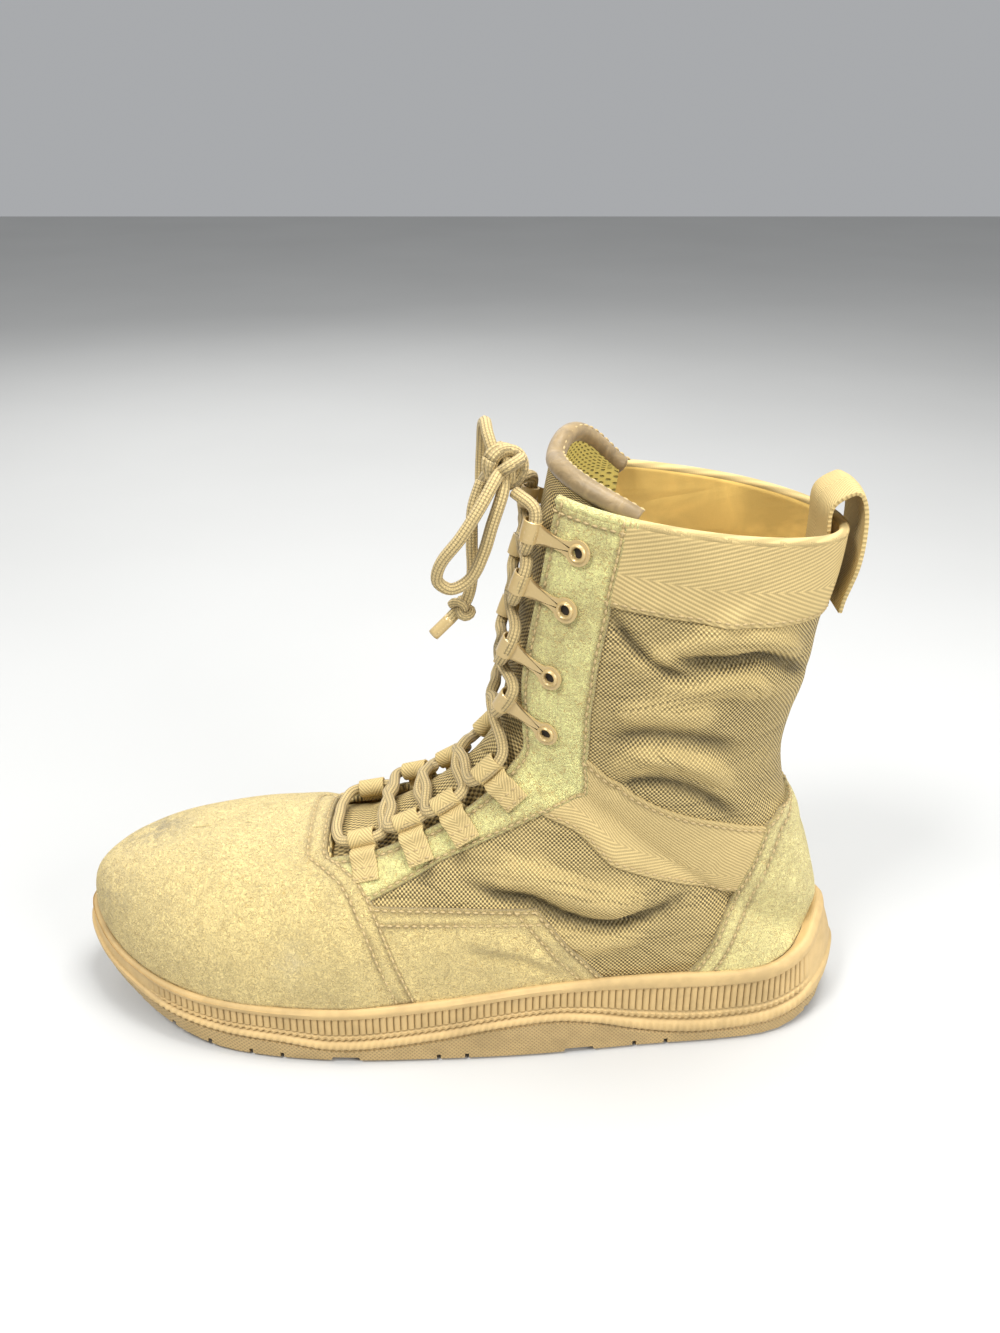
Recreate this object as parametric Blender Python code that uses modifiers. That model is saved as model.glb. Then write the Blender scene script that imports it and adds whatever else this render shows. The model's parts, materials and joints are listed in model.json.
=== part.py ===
"""Lace-up combat boot for the left foot, standing empty on its sole.

Metres, +Z up, toe to -X, outer (lateral) side to -Y, origin under the middle of the sole.
The last is worked out first: a sole outline, a feather line inside it, a front line and a back line.
Sections between those lines give one surface, and upper, tongue and suede are all cut from it.
"""

import math

import bmesh
import bpy
import numpy as np
from mathutils import Matrix, Vector

# Driving dimensions, in metres
LENGTH = 0.314
BALL_WIDTH = 0.1085
SHAFT_WIDTH = 0.070
SOLE_HEIGHT = 0.0253
INSTEP_HEIGHT = 0.082
COLLAR_HEIGHT = 0.219
THROAT_WIDTH = 0.036
UPPER_WALL = 0.0022
SUEDE = 0.0014
TAPE = 0.0012
GAP = 0.0003
OVERLAY_GAP = 0.0006
COUNTER_GAP = 0.0014
TOE_TUCK = 0.009
HEEL_LEAN = 0.0095
RIM_WALL = 0.0026
RIM_BEVEL = 0.0008
RIB_DEPTH = 0.0011
RIM_CLEARANCE = 0.0018
SOLE_WRAP = 0.006
OUTSOLE_CORE = 0.0052
SIPE_WIDTH = 0.0016
SIPE_DEPTH = 0.0034
FLEX_GAP_DEPTH = 0.0028
INSOLE_THICKNESS = 0.0036
TONGUE_THICKNESS = 0.0034
TONGUE_CLEARANCE = 0.0013
TONGUE_RISE = 0.015
COLLAR_TAPE_HEIGHT = 0.029
LOOP_WIDTH = 0.024
LOOP_THICKNESS = 0.0018
LOOP_SAG = 0.0043
LACE = 0.0042
TAB_WIDTH = 0.0098
HOOK_SHEET = 0.0008
HOOK_LENGTH = 0.0078
GROMMET_RADIUS = 0.0038
BARREL_RADIUS = 0.0025
GROMMET_HOLE = 0.0018
GROMMET_SETBACK = 0.0128
CHANNEL_CLEARANCE = 0.0014

TAB_FORWARD = LACE / 2 + CHANNEL_CLEARANCE + TAPE + 0.0011
LACE_OVER = 0.0008
CROSSING_SHARES = (0.34, 0.0, -0.34)
KNOT_OFFSET = np.array((-0.0105, -0.006, 0.007))

# How finely the faceted solids are cut
SOLE_STEPS = 46
INSOLE_STEPS = 26
VAMP_ROWS = 11
SIDE_COLUMNS = 9
RIDGE_COLUMNS = 4

LATERAL, MEDIAL = -1, 1
SIDES = {"lateral": LATERAL, "medial": MEDIAL}


def table(names, *rows):
    """Named columns, from a row of names and a row of numbers for each place."""
    return dict(zip(names.split(), np.array(rows, float).T))


# Half widths of the sole, as shares of the ball width, at shares of the length from heel to toe
OUTLINE = table(
    "along lateral medial",
    (0.013, 0.129, 0.106),
    (0.045, 0.249, 0.212),
    (0.100, 0.336, 0.300),
    (0.170, 0.373, 0.332),
    (0.270, 0.401, 0.336),
    (0.410, 0.447, 0.368),
    (0.545, 0.470, 0.447),
    (0.650, 0.475, 0.508),
    (0.750, 0.447, 0.525),
    (0.840, 0.378, 0.486),
    (0.910, 0.272, 0.398),
    (0.970, 0.124, 0.253),
)
HEEL_END, TOE_END = -0.009, 0.055

# Heights of the sole's edges as shares of its height at the ball
RIM = table(
    "along height",
    (0.00, 1.78), (0.01, 1.72), (0.035, 1.58), (0.065, 1.43), (0.12, 1.33), (0.23, 1.38),
    (0.39, 1.36), (0.52, 1.15), (0.645, 1.00), (0.78, 0.96), (0.845, 0.97), (0.90, 1.04),
    (0.95, 1.18), (0.985, 1.38), (1.00, 1.46),
)
PARTING = table(
    "along height",
    (0.00, 0.66), (0.03, 0.48), (0.08, 0.30), (0.15, 0.22), (0.22, 0.22), (0.28, 0.36),
    (0.33, 0.55), (0.38, 0.66), (0.45, 0.59), (0.52, 0.42), (0.60, 0.27), (0.66, 0.23),
    (0.72, 0.34), (0.80, 0.38), (0.88, 0.52), (0.93, 0.72), (0.97, 0.90), (1.00, 1.08),
)
GROUND = table(
    "along height",
    (0.00, 0.36), (0.02, 0.20), (0.05, 0.08), (0.09, 0.0), (0.45, 0.0), (0.78, 0.0),
    (0.84, 0.10), (0.90, 0.27), (0.96, 0.47), (1.00, 0.62),
)
FLOOR = table(
    "along height",
    (0.00, 1.18), (0.05, 1.17), (0.23, 1.19), (0.39, 1.17), (0.52, 0.98), (0.65, 0.83),
    (0.78, 0.80), (0.845, 0.81), (0.90, 0.87), (0.95, 0.99), (1.00, 1.10),
)
# How far the ground edge is tucked in and the rim leans in, as shares of TOE_TUCK and HEEL_LEAN
TUCK = table(
    "along share",
    (0.00, 0.50), (0.03, 0.28), (0.08, 0.09), (0.15, 0.0), (0.80, 0.0), (0.88, 0.16),
    (0.94, 0.44), (0.98, 0.83), (1.00, 1.00),
)
LEAN = table(
    "along share",
    (0.00, 1.00), (0.02, 0.84), (0.05, 0.58), (0.09, 0.34), (0.15, 0.17), (0.25, 0.12),
    (0.80, 0.12), (0.92, 0.16), (1.00, 0.28),
)

# Front line: ridge of the vamp up to 1, then up the throat to the collar at 2.
# Level 0 is the sole's height at the ball, 1 the instep, 2 the collar.
FRONT = table(
    "front along level side",
    (0.00, 0.980, 0.16, 0.050), (0.08, 0.973, 0.44, 0.050), (0.18, 0.946, 0.60, 0.047),
    (0.30, 0.905, 0.70, 0.042), (0.45, 0.850, 0.785, 0.034), (0.65, 0.780, 0.850, 0.024),
    (0.85, 0.705, 0.90, 0.014), (1.00, 0.659, 0.945, 0.006), (1.15, 0.592, 1.035, 0.0),
    (1.30, 0.529, 1.140, 0.0), (1.40, 0.487, 1.230, 0.0), (1.50, 0.464, 1.320, 0.0),
    (1.60, 0.456, 1.405, 0.0), (1.70, 0.448, 1.526, 0.0), (1.85, 0.430, 1.759, 0.0),
    (2.00, 0.411, 2.000, 0.0),
)
# Back line, from the feather line at the heel (1) to the collar (2)
BACK = table(
    "base along level",
    (1.00, 0.0450, 0.08), (1.08, 0.0430, 0.34), (1.18, 0.0550, 0.63), (1.30, 0.0790, 1.015),
    (1.38, 0.0980, 1.113), (1.50, 0.1100, 1.263), (1.60, 0.1040, 1.380), (1.70, 0.0930, 1.496),
    (1.80, 0.0880, 1.620), (1.90, 0.0780, 1.759), (2.00, 0.0735, 1.891),
)
# A row for each section of the last, from base line (toe 0, heel 1, collar 2) to front line.
# low and high are half widths at the two handles, as shares of the feather's half width,
# shaft_low and shaft_high those as shares of half the shaft, and lift is the lower handle's height.
SECTIONS = table(
    "base front low shaft_low lift high shaft_high",
    (0.000, 0.00, 1.00, 0.00, 0.50, 0.70, 0.00),
    (0.064, 0.12, 1.03, 0.00, 0.56, 0.66, 0.00),
    (0.131, 0.29, 1.04, 0.00, 0.60, 0.65, 0.00),
    (0.202, 0.48, 1.05, 0.00, 0.62, 0.64, 0.00),
    (0.280, 0.72, 1.05, 0.00, 0.62, 0.62, 0.00),
    (0.374, 1.00, 1.05, 0.00, 0.60, 0.58, 0.00),
    (0.464, 1.13, 1.02, 0.00, 0.56, 0.57, 0.00),
    (0.584, 1.26, 0.96, 0.08, 0.50, 0.54, 0.10),
    (0.706, 1.37, 0.86, 0.24, 0.44, 0.46, 0.34),
    (0.800, 1.45, 0.70, 0.46, 0.37, 0.36, 0.58),
    (0.863, 1.50, 0.56, 0.68, 0.28, 0.26, 0.78),
    (0.930, 1.55, 0.30, 0.98, 0.16, 0.12, 0.98),
    (1.000, 1.60, 0.00, 1.18, 0.04, 0.00, 1.10),
    (1.180, 1.66, 0.00, 1.26, 0.00, 0.00, 1.16),
    (1.380, 1.74, 0.00, 1.27, 0.00, 0.00, 1.22),
    (1.600, 1.83, 0.00, 1.28, 0.00, 0.00, 1.28),
    (1.800, 1.92, 0.00, 1.31, 0.00, 0.00, 1.31),
    (2.000, 2.00, 0.00, 1.33, 0.00, 0.00, 1.33),
)

# Half the throat's opening at places along the base line, as shares of its width
THROAT = table(
    "base half",
    (0.374, 0.55), (0.584, 0.565), (0.800, 0.52), (1.000, 0.48), (1.300, 0.46), (1.700, 0.49),
    (2.000, 0.50),
)

# Edges of the suede and tape, as shares of the length from the heel and levels, seen from the side
VAMP_EDGE = table(
    "along level",
    (0.549, 0.02), (0.565, 0.26), (0.592, 0.63), (0.608, 0.82), (0.640, 1.00), (0.660, 1.03),
)
EYESTAY_EDGE = table(
    "along level",
    (0.606, 0.70), (0.521, 0.97), (0.415, 1.115), (0.362, 1.180), (0.350, 1.30), (0.345, 1.526),
    (0.332, 1.774), (0.317, 2.00),
)
SIDE_SUEDE_TOP = table("along level", (0.590, 0.690), (0.500, 0.71), (0.405, 0.70))
SIDE_SUEDE_FOOT = (0.535, 0.318)
TAPE_UPPER = table("along level", (0.331, 1.278), (0.271, 1.19), (0.191, 1.128), (0.147, 1.10))
TAPE_LOWER = table("along level", (0.361, 1.095), (0.323, 1.01), (0.236, 0.83), (0.170, 0.72))
COUNTER_EDGE = table(
    "along level",
    (0.217, 0.15), (0.199, 0.30), (0.168, 0.72), (0.148, 1.00), (0.137, 1.09), (0.118, 1.118),
)
# Places of the lace tabs, as shares of the length, and levels of the hooks, on the throat's edge
TABS_ALONG = (0.612, 0.552, 0.503, 0.450)
HOOK_LEVELS = (1.425, 1.585, 1.765, 1.905)
# Sipes and wide gaps across the outsole, as shares of the length
SIPES = (0.050, 0.240, 0.280, 0.490, 0.525, 0.720, 0.760, 0.815, 0.865, 0.915)
FLEX_GAPS = ((0.350, 0.060), (0.640, 0.058))
LONG_GROOVES = (-0.21, 0.0, 0.21)

# The bow: points chosen by hand, as x, y, z from the knot's middle
KNOT_SIZE = (0.0078, 0.0074, 0.0066)
LATERAL_BOW = (
    (-0.0030, -0.0078, -0.0024), (-0.0085, -0.013, -0.011), (-0.0145, -0.015, -0.020),
    (-0.0210, -0.014, -0.029), (-0.0225, -0.0125, -0.036), (-0.0180, -0.0115, -0.0395),
    (-0.0115, -0.011, -0.036), (-0.0070, -0.0105, -0.027), (-0.0040, -0.0100, -0.017),
    (-0.0005, -0.0074, -0.0064),
)
MEDIAL_BOW = (
    (-0.0032, 0.0078, 0.0014), (-0.0055, 0.013, 0.0065), (-0.0065, 0.020, 0.0090),
    (-0.0075, 0.027, 0.0055), (-0.0080, 0.032, -0.003), (-0.0085, 0.033, -0.013),
    (-0.0085, 0.029, -0.0205), (-0.0085, 0.023, -0.0190), (-0.0075, 0.0165, -0.0110),
    (-0.0045, 0.0080, -0.0044),
)
LATERAL_END = (
    (-0.0076, -0.0008, -0.0050), (-0.0105, -0.0030, -0.014), (-0.0110, -0.0035, -0.026),
    (-0.0110, -0.0025, -0.038), (-0.0130, -0.0030, -0.047), (-0.0180, -0.0040, -0.053),
    (-0.0240, -0.0050, -0.059),
)
MEDIAL_END = (
    (0.0008, 0.0082, -0.0008), (0.0026, 0.0180, -0.0062), (0.0044, 0.0285, -0.0135),
    (0.0070, 0.0365, -0.0270), (0.0080, 0.0400, -0.0420), (0.0080, 0.0410, -0.0580),
    (0.0070, 0.0400, -0.0720),
)
BOW_STEP = 0.0042

COLOURS = {
    "rubber": (0.46, 0.31, 0.16, 0.75, 0.0),
    "tread": (0.42, 0.27, 0.13, 0.80, 0.0),
    "suede": (0.55, 0.42, 0.24, 0.95, 0.0),
    "nylon": (0.36, 0.26, 0.14, 0.80, 0.0),
    "tape": (0.44, 0.34, 0.19, 0.85, 0.0),
    "lining": (0.50, 0.36, 0.15, 0.95, 0.0),
    "lace": (0.42, 0.32, 0.18, 0.80, 0.0),
    "metal": (0.52, 0.38, 0.19, 0.40, 0.6),
}


def smooth(knots, values, at):
    """A cubic through the values, with each slope taken from both neighbours."""
    steps, rises = np.diff(knots), np.diff(values)
    chords = rises / steps
    slopes = np.concatenate([chords[:1], (rises[1:] + rises[:-1]) / (steps[1:] + steps[:-1]), chords[-1:]])
    at = np.clip(np.asarray(at, float), knots[0], knots[-1])
    i = np.clip(np.searchsorted(knots, at, side="right") - 1, 0, len(steps) - 1)
    h = steps[i]
    s = (at - knots[i]) / h
    return (
        values[i] * (1 + 2 * s) * (1 - s) ** 2
        + slopes[i] * h * s * (1 - s) ** 2
        + values[i + 1] * s * s * (3 - 2 * s)
        + slopes[i + 1] * h * s * s * (s - 1)
    )


def read(columns, name, at, key=None):
    """A table's column at places along its first column, or along the column that key names."""
    return smooth(columns[key or next(iter(columns))], columns[name], at)


def x_of(along):
    return LENGTH / 2 - LENGTH * np.asarray(along, float)


def along_of(x):
    return (LENGTH / 2 - x) / LENGTH


def z_of(level):
    return np.interp(level, (0, 1, 2), (SOLE_HEIGHT, INSTEP_HEIGHT, COLLAR_HEIGHT))


def closed_outline():
    """The sole's outline as two half-width curves over the same places along the sole."""
    points = [(0.0, HEEL_END)]
    points += list(zip(OUTLINE["along"], -OUTLINE["lateral"]))
    points += [(1.0, TOE_END)]
    points += list(zip(OUTLINE["along"][::-1], OUTLINE["medial"][::-1]))
    loop = np.array(points) * (LENGTH, BALL_WIDTH)
    loop = np.concatenate([loop[-3:], loop, loop[:4]])
    knots = np.concatenate([[0], np.cumsum(np.linalg.norm(np.diff(loop, axis=0), axis=1))])
    at = np.linspace(knots[3], knots[-4], 1201)
    dense = np.stack([smooth(knots, loop[:, 0], at), smooth(knots, loop[:, 1], at)], axis=1)
    tip = dense[:, 0].argmax()
    return dense[: tip + 1], dense[tip:][::-1]


LATERAL_LINE, MEDIAL_LINE = closed_outline()
MIDDLE = (LATERAL_LINE[:, 1].min() + MEDIAL_LINE[:, 1].max()) / 2


def stations(count):
    """Places along the sole, from heel to toe, evenly spaced along its edge."""
    mean = 0.5 * (LATERAL_LINE[::4] + np.stack([
        LATERAL_LINE[::4, 0],
        -np.interp(LATERAL_LINE[::4, 0], MEDIAL_LINE[:, 0], MEDIAL_LINE[:, 1]),
    ], axis=1))
    run = np.concatenate([[0], np.cumsum(np.linalg.norm(np.diff(mean, axis=0), axis=1))])
    return np.interp(np.linspace(0, run[-1], count + 1), run, mean[:, 0]) / LENGTH


def edge_loop(alongs):
    """Points and outward directions round the sole: heel, outer side, toe, inner side."""
    outer = np.interp(alongs * LENGTH, LATERAL_LINE[:, 0], LATERAL_LINE[:, 1])
    inner = np.interp(alongs * LENGTH, MEDIAL_LINE[:, 0], MEDIAL_LINE[:, 1])
    there = np.concatenate([alongs, alongs[-2:0:-1]])
    side = np.concatenate([outer, inner[-2:0:-1]]) - MIDDLE
    points = np.stack([x_of(there), side], axis=1)
    ahead = np.roll(points, -1, axis=0) - np.roll(points, 1, axis=0)
    out = np.stack([-ahead[:, 1], ahead[:, 0]], axis=1)
    return there, points, out / np.linalg.norm(out, axis=1)[:, None]


class SoleEdge:
    """The sole's side wall: heights and inward offsets round its edge."""

    def __init__(self, count):
        self.alongs = stations(count)
        self.there, self.points, self.out = edge_loop(self.alongs)
        self.ground = SOLE_HEIGHT * np.maximum(read(GROUND, "height", self.there), 0)
        self.parting = SOLE_HEIGHT * read(PARTING, "height", self.there)
        self.rim = SOLE_HEIGHT * read(RIM, "height", self.there)
        self.floor = SOLE_HEIGHT * read(FLOOR, "height", self.there)

    def inset(self, height):
        """How far the side wall is inside the widest outline at a height."""
        share = np.clip((height - self.ground) / (self.rim - self.ground), 0, 1)
        tuck = TOE_TUCK * read(TUCK, "share", self.there) * np.clip(1 - share / 0.5, 0, 1) ** 1.6
        return tuck + HEEL_LEAN * read(LEAN, "share", self.there) * share**1.6

    def ring(self, height, inward=0.0):
        """A loop of points at a height, inward from the side wall."""
        flat = self.points - self.out * (self.inset(height) + inward)[:, None]
        return np.column_stack([flat, np.broadcast_to(height, len(flat))])

    def rim_ring(self, height, inward):
        """A loop of points at a height, inward from the rim."""
        flat = self.points - self.out * (self.inset(self.rim) + inward)[:, None]
        return np.column_stack([flat, np.broadcast_to(height, len(flat))])


def new_object(name, mesh, colour):
    made = bpy.data.objects.new(name, mesh)
    parts.objects.link(made)
    mesh.materials.append(material(colour))
    return made


def material(name):
    """A plain finish: colour, roughness and metallic value."""
    found = bpy.data.materials.get(name)
    if found:
        return found
    made = bpy.data.materials.new(name)
    made.use_nodes = True
    shader = made.node_tree.nodes["Principled BSDF"]
    *colour, roughness, metallic = COLOURS[name]
    shader.inputs["Base Color"].default_value = (*colour, 1)
    shader.inputs["Roughness"].default_value = roughness
    shader.inputs["Metallic"].default_value = metallic
    made.diffuse_color = (*colour, 1)
    return made


def mesh_of(name, bm):
    bmesh.ops.recalc_face_normals(bm, faces=bm.faces)
    mesh = bpy.data.meshes.new(name)
    bm.to_mesh(mesh)
    bm.free()
    mesh.shade_smooth()
    mesh.set_sharp_from_angle(angle=math.radians(38))
    return mesh


def ring_solid(name, rings, colour):
    """A closed solid through loops of points; the first and last are closed by rungs across the sole."""
    bm = bmesh.new()
    loops = [[bm.verts.new(point) for point in ring] for ring in rings]
    for first, second in zip(loops, loops[1:]):
        for i, corner in enumerate(first):
            before = i - 1
            bm.faces.new((first[before], corner, second[i], second[before]))
    for loop in (loops[0], loops[-1]):
        half = len(loop) // 2
        for i in range(1, half):
            rung = [loop[i], loop[i + 1], loop[-i - 1], loop[-i]]
            bm.faces.new(dict.fromkeys(rung))
        bm.faces.new((loop[0], loop[1], loop[-1]))
    bmesh.ops.triangulate(bm, faces=bm.faces, quad_method="SHORT_EDGE")
    return new_object(name, mesh_of(name, bm), colour)


def spaced(columns):
    """Shares across a section, closer together at the base line, where the heel turns sharply."""
    return np.linspace(0, 1, columns + 1) ** 1.35


def grid_mesh(name, bm, rows):
    """Adds a sheet through rows of points, as a grid whose corners are moved into place."""
    rows = np.asarray(rows)
    made = bmesh.ops.create_grid(bm, x_segments=rows.shape[1] - 1, y_segments=rows.shape[0] - 1, size=1)
    for vert, point in zip(made["verts"], rows.reshape(-1, 3)):
        vert.co = point
    return made["verts"]


def foot_core(point):
    """The middle of the foot or the leg beside a point, from which every sheet faces away."""
    if point.z > INSTEP_HEIGHT:
        return Vector((x_of(0.23), 0, point.z))
    return Vector((min(max(point.x, x_of(0.85)), x_of(0.18)), 0, SOLE_HEIGHT * 1.8))


def shell(name, sheets, thickness, colour, outward=True):
    """A wall of even thickness on one or more sheets that meet along shared edges."""
    bm = bmesh.new()
    for rows in sheets:
        grid_mesh(name, bm, rows)
    bmesh.ops.remove_doubles(bm, verts=bm.verts, dist=2e-5)
    bmesh.ops.dissolve_degenerate(bm, edges=bm.edges, dist=1e-5)
    bmesh.ops.recalc_face_normals(bm, faces=bm.faces)
    away = 0.0
    for face in bm.faces:
        centre = face.calc_center_median()
        away += (centre - foot_core(centre)).dot(face.normal) * face.calc_area()
    if away < 0:
        bmesh.ops.reverse_faces(bm, faces=bm.faces)
    mesh = bpy.data.meshes.new(name)
    bm.to_mesh(mesh)
    bm.free()
    mesh.shade_smooth()
    made = new_object(name, mesh, colour)
    wall = made.modifiers.new("wall", "SOLIDIFY")
    wall.thickness = thickness
    wall.offset = 1 if outward else -1
    wall.use_even_offset = True
    wall.use_quality_normals = True
    return made


class Last:
    """One side of the last: a surface from the base line (across 0) to the front line (across 1)."""

    def __init__(self, side):
        self.side = side
        self.line = LATERAL_LINE if side == LATERAL else MEDIAL_LINE
        share, alongs = self.feather_run()
        self.share, self.alongs = share, alongs
        grid_t = np.linspace(0, 2, 201)
        grid_v = np.linspace(0, 1, 81)
        self.net = np.array(np.meshgrid(grid_t, grid_v, indexing="ij"))
        self.net_points = self.at(self.net[0], self.net[1])

    def feather_run(self):
        """Shares of the way from toe to heel along the sole's edge, and the places along the sole."""
        alongs = stations(240)[::-1]
        return np.linspace(0, 1, len(alongs)), alongs

    def feather(self, base):
        """The feather line, just inside the rim and just above the cup's floor."""
        alongs = np.interp(base, self.share, self.alongs)
        fine = self.alongs
        across = np.interp(fine * LENGTH, self.line[:, 0], self.line[:, 1]) - MIDDLE
        line = np.stack([x_of(fine), across], axis=1)
        ahead = np.gradient(line, axis=0)
        out = np.stack([-ahead[:, 1], ahead[:, 0]], axis=1) * self.side
        out /= np.linalg.norm(out, axis=1)[:, None]
        out[0], out[-1] = (-1, 0), (1, 0)
        inset = HEEL_LEAN * read(LEAN, "share", fine) + RIM_WALL + 3 * GAP
        line = line - out * inset[:, None]
        x = np.interp(base, self.share, line[:, 0])
        y = np.interp(base, self.share, line[:, 1])
        return np.stack([x, y, SOLE_HEIGHT * read(FLOOR, "height", alongs) + 3 * GAP], axis=-1)

    def front(self, front):
        side = BALL_WIDTH * read(FRONT, "side", front) - MIDDLE
        return np.stack([x_of(read(FRONT, "along", front)), side, z_of(read(FRONT, "level", front))], axis=-1)

    def base(self, base):
        low = self.feather(np.minimum(base, 1))
        along, level = read(BACK, "along", base), read(BACK, "level", base)
        back = np.stack([x_of(along), np.full_like(along, -MIDDLE), z_of(level)], axis=-1)
        blend = np.clip((base - 1) / 0.05, 0, 1)[..., None]
        return np.where(base[..., None] <= 1, low, low * (1 - blend) + back * blend)

    def handles(self, base):
        """The four control points of the section at each place along the base line."""
        start, end = self.base(base), self.front(read(SECTIONS, "front", base))
        half = start[..., 1] - end[..., 1]
        lift = read(SECTIONS, "lift", base)[..., None]
        low = start + lift * (end - start)
        high = end.copy()
        for handle, name in ((low, "low"), (high, "high")):
            shaft = self.side * SHAFT_WIDTH / 2 * read(SECTIONS, "shaft_" + name, base)
            handle[..., 1] = end[..., 1] + half * read(SECTIONS, name, base) + shaft
        return start, low, high, end

    def at(self, base, across):
        """Points of the surface."""
        base, across = np.broadcast_arrays(np.asarray(base, float), np.asarray(across, float))
        v = across[..., None]
        a, b, c, d = self.handles(base)
        return a * (1 - v) ** 3 + 3 * b * v * (1 - v) ** 2 + 3 * c * v * v * (1 - v) + d * v**3

    def normal(self, base, across):
        """Outward directions of the surface, read over a longer stretch where the base line turns up the heel."""
        base, across = np.broadcast_arrays(np.asarray(base, float), np.asarray(across, float))
        step = 2e-3
        wide = step + 0.04 * np.exp(-(((base - 1) / 0.03) ** 2))
        b0, b1 = np.clip(base - wide, 0, 2), np.clip(base + wide, 0, 2)
        v0, v1 = np.clip(across - step, 0, 1), np.clip(across + step, 0, 1)
        along = self.at(b1, across) - self.at(b0, across)
        up = self.at(base, v1) - self.at(base, v0)
        n = np.cross(along, up) * -self.side
        return n / np.maximum(np.linalg.norm(n, axis=-1, keepdims=True), 1e-12)

    def raised(self, base, across, height):
        return self.at(base, across) + height * self.normal(base, across)

    def find(self, along, level):
        """The base and across values of a place given from the side, by length and level."""
        x, z = x_of(along), z_of(level)
        found = []
        for px, pz in zip(np.atleast_1d(x), np.atleast_1d(z)):
            off = np.hypot(self.net_points[..., 0] - px, self.net_points[..., 2] - pz)
            i, j = np.unravel_index(off.argmin(), off.shape)
            place = np.array([self.net[0][i, j], self.net[1][i, j]])
            for _ in range(6):
                here = self.at(*place)[[0, 2]]
                slope = np.stack(
                    [(self.at(*(place + step))[[0, 2]] - here) / 1e-4 for step in ((1e-4, 0), (0, 1e-4))], axis=1
                )
                move = np.linalg.lstsq(slope, np.array([px, pz]) - here, rcond=None)[0]
                place = np.clip(place + np.clip(move, -0.05, 0.05), (0, 0), (2, 1))
            found.append(place)
        return np.array(found)

    def across_at_height(self, base, height):
        """Where the section at base first reaches a height."""
        v = np.linspace(0, 1, 301)
        z = self.at(base, v)[:, 2]
        return float(np.interp(height, np.maximum.accumulate(z), v))

    def across_at_side(self, base, half):
        """Where the section at base comes in to a half width beside the front line."""
        v = np.linspace(0.45, 1, 301)
        points = self.at(base, v)
        side = np.abs(points[:, 1] - points[-1, 1])
        return float(np.interp(-half, -side, v))

    def rim_across(self, base):
        """Where the section comes out of the sole's cup."""
        v = np.linspace(0, 1, 401)
        points = self.at(base, v)
        near = [read(RIM, "height", np.clip(along_of(points[:, 0]) + step, 0, 1)) for step in (-0.025, 0, 0.025)]
        out = points[:, 2] >= SOLE_HEIGHT * np.max(near, axis=0) + RIM_CLEARANCE
        return float(v[np.argmax(out)]) if out.any() else 1.0

    def throat(self, base):
        return self.across_at_side(base, THROAT_WIDTH * float(read(THROAT, "half", base)))


lasts = {name: Last(side) for name, side in SIDES.items()}
THROAT_BASE = float(np.interp(1.0, SECTIONS["front"], SECTIONS["base"]))


def quarter_bases():
    """Places along the base line for the quarters' sections, closest together round the heel."""
    side = np.linspace(THROAT_BASE, 0.82, 8, endpoint=False)
    heel = np.linspace(0.82, 1.0, 8, endpoint=False)
    back = np.linspace(1.0, 1.5, 11, endpoint=False)
    return np.concatenate([side, heel, back, np.linspace(1.5, 2.0, 6)])


def make_outsole():
    edge = SoleEdge(SOLE_STEPS)
    ground, parting = edge.ground, edge.parting
    core = ground + OUTSOLE_CORE
    top = np.maximum(parting, core - 0.001)
    rings = [
        edge.ring(ground, 0.0016),
        edge.ring(ground + 0.0014, 0.0),
        edge.ring(ground + 0.5 * (top - ground), 0.0),
        edge.ring(top - 0.0006, 0.0),
        edge.ring(top, 0.0007),
        edge.ring(core, SOLE_WRAP),
    ]
    sole = ring_solid("outsole", rings, "tread")
    for i, along in enumerate(SIPES):
        cut_across(sole, f"sipe_{i}", along, SIPE_WIDTH, SIPE_DEPTH, 0.0)
    for i, (along, width) in enumerate(FLEX_GAPS):
        cut_across(sole, f"flex_gap_{i}", along, width * LENGTH, FLEX_GAP_DEPTH, 0.004)
    for i, share in enumerate(LONG_GROOVES):
        cut_along(sole, f"groove_{i}", share)
    return sole


def cutter(name, bm):
    mesh = mesh_of(name, bm)
    made = bpy.data.objects.new(name, mesh)
    cutters.objects.link(made)
    made.hide_render = True
    made.display_type = "WIRE"
    return made


def cut(target, tool):
    change = target.modifiers.new(tool.name, "BOOLEAN")
    change.operation = "DIFFERENCE"
    change.object = tool


def cut_across(sole, name, along, width, depth, slope):
    """A slot across the whole outsole, following its underside at that place."""
    ground = SOLE_HEIGHT * max(float(read(GROUND, "height", along)), 0)
    tilt = SOLE_HEIGHT * float(read(GROUND, "height", along + 0.01) - read(GROUND, "height", along - 0.01))
    bm = bmesh.new()
    bmesh.ops.create_cube(bm, size=1)
    for vert in bm.verts:
        up = vert.co.z > 0
        vert.co.x *= width - (2 * slope if up else 0)
        vert.co.y *= 2 * BALL_WIDTH
        vert.co.z = depth if up else -0.008
    turn = Matrix.Rotation(math.atan2(tilt, 0.02 * LENGTH), 4, "Y")
    bmesh.ops.transform(bm, matrix=Matrix.Translation((float(x_of(along)), 0, ground)) @ turn, verts=bm.verts)
    cut(sole, cutter(name, bm))


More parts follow.
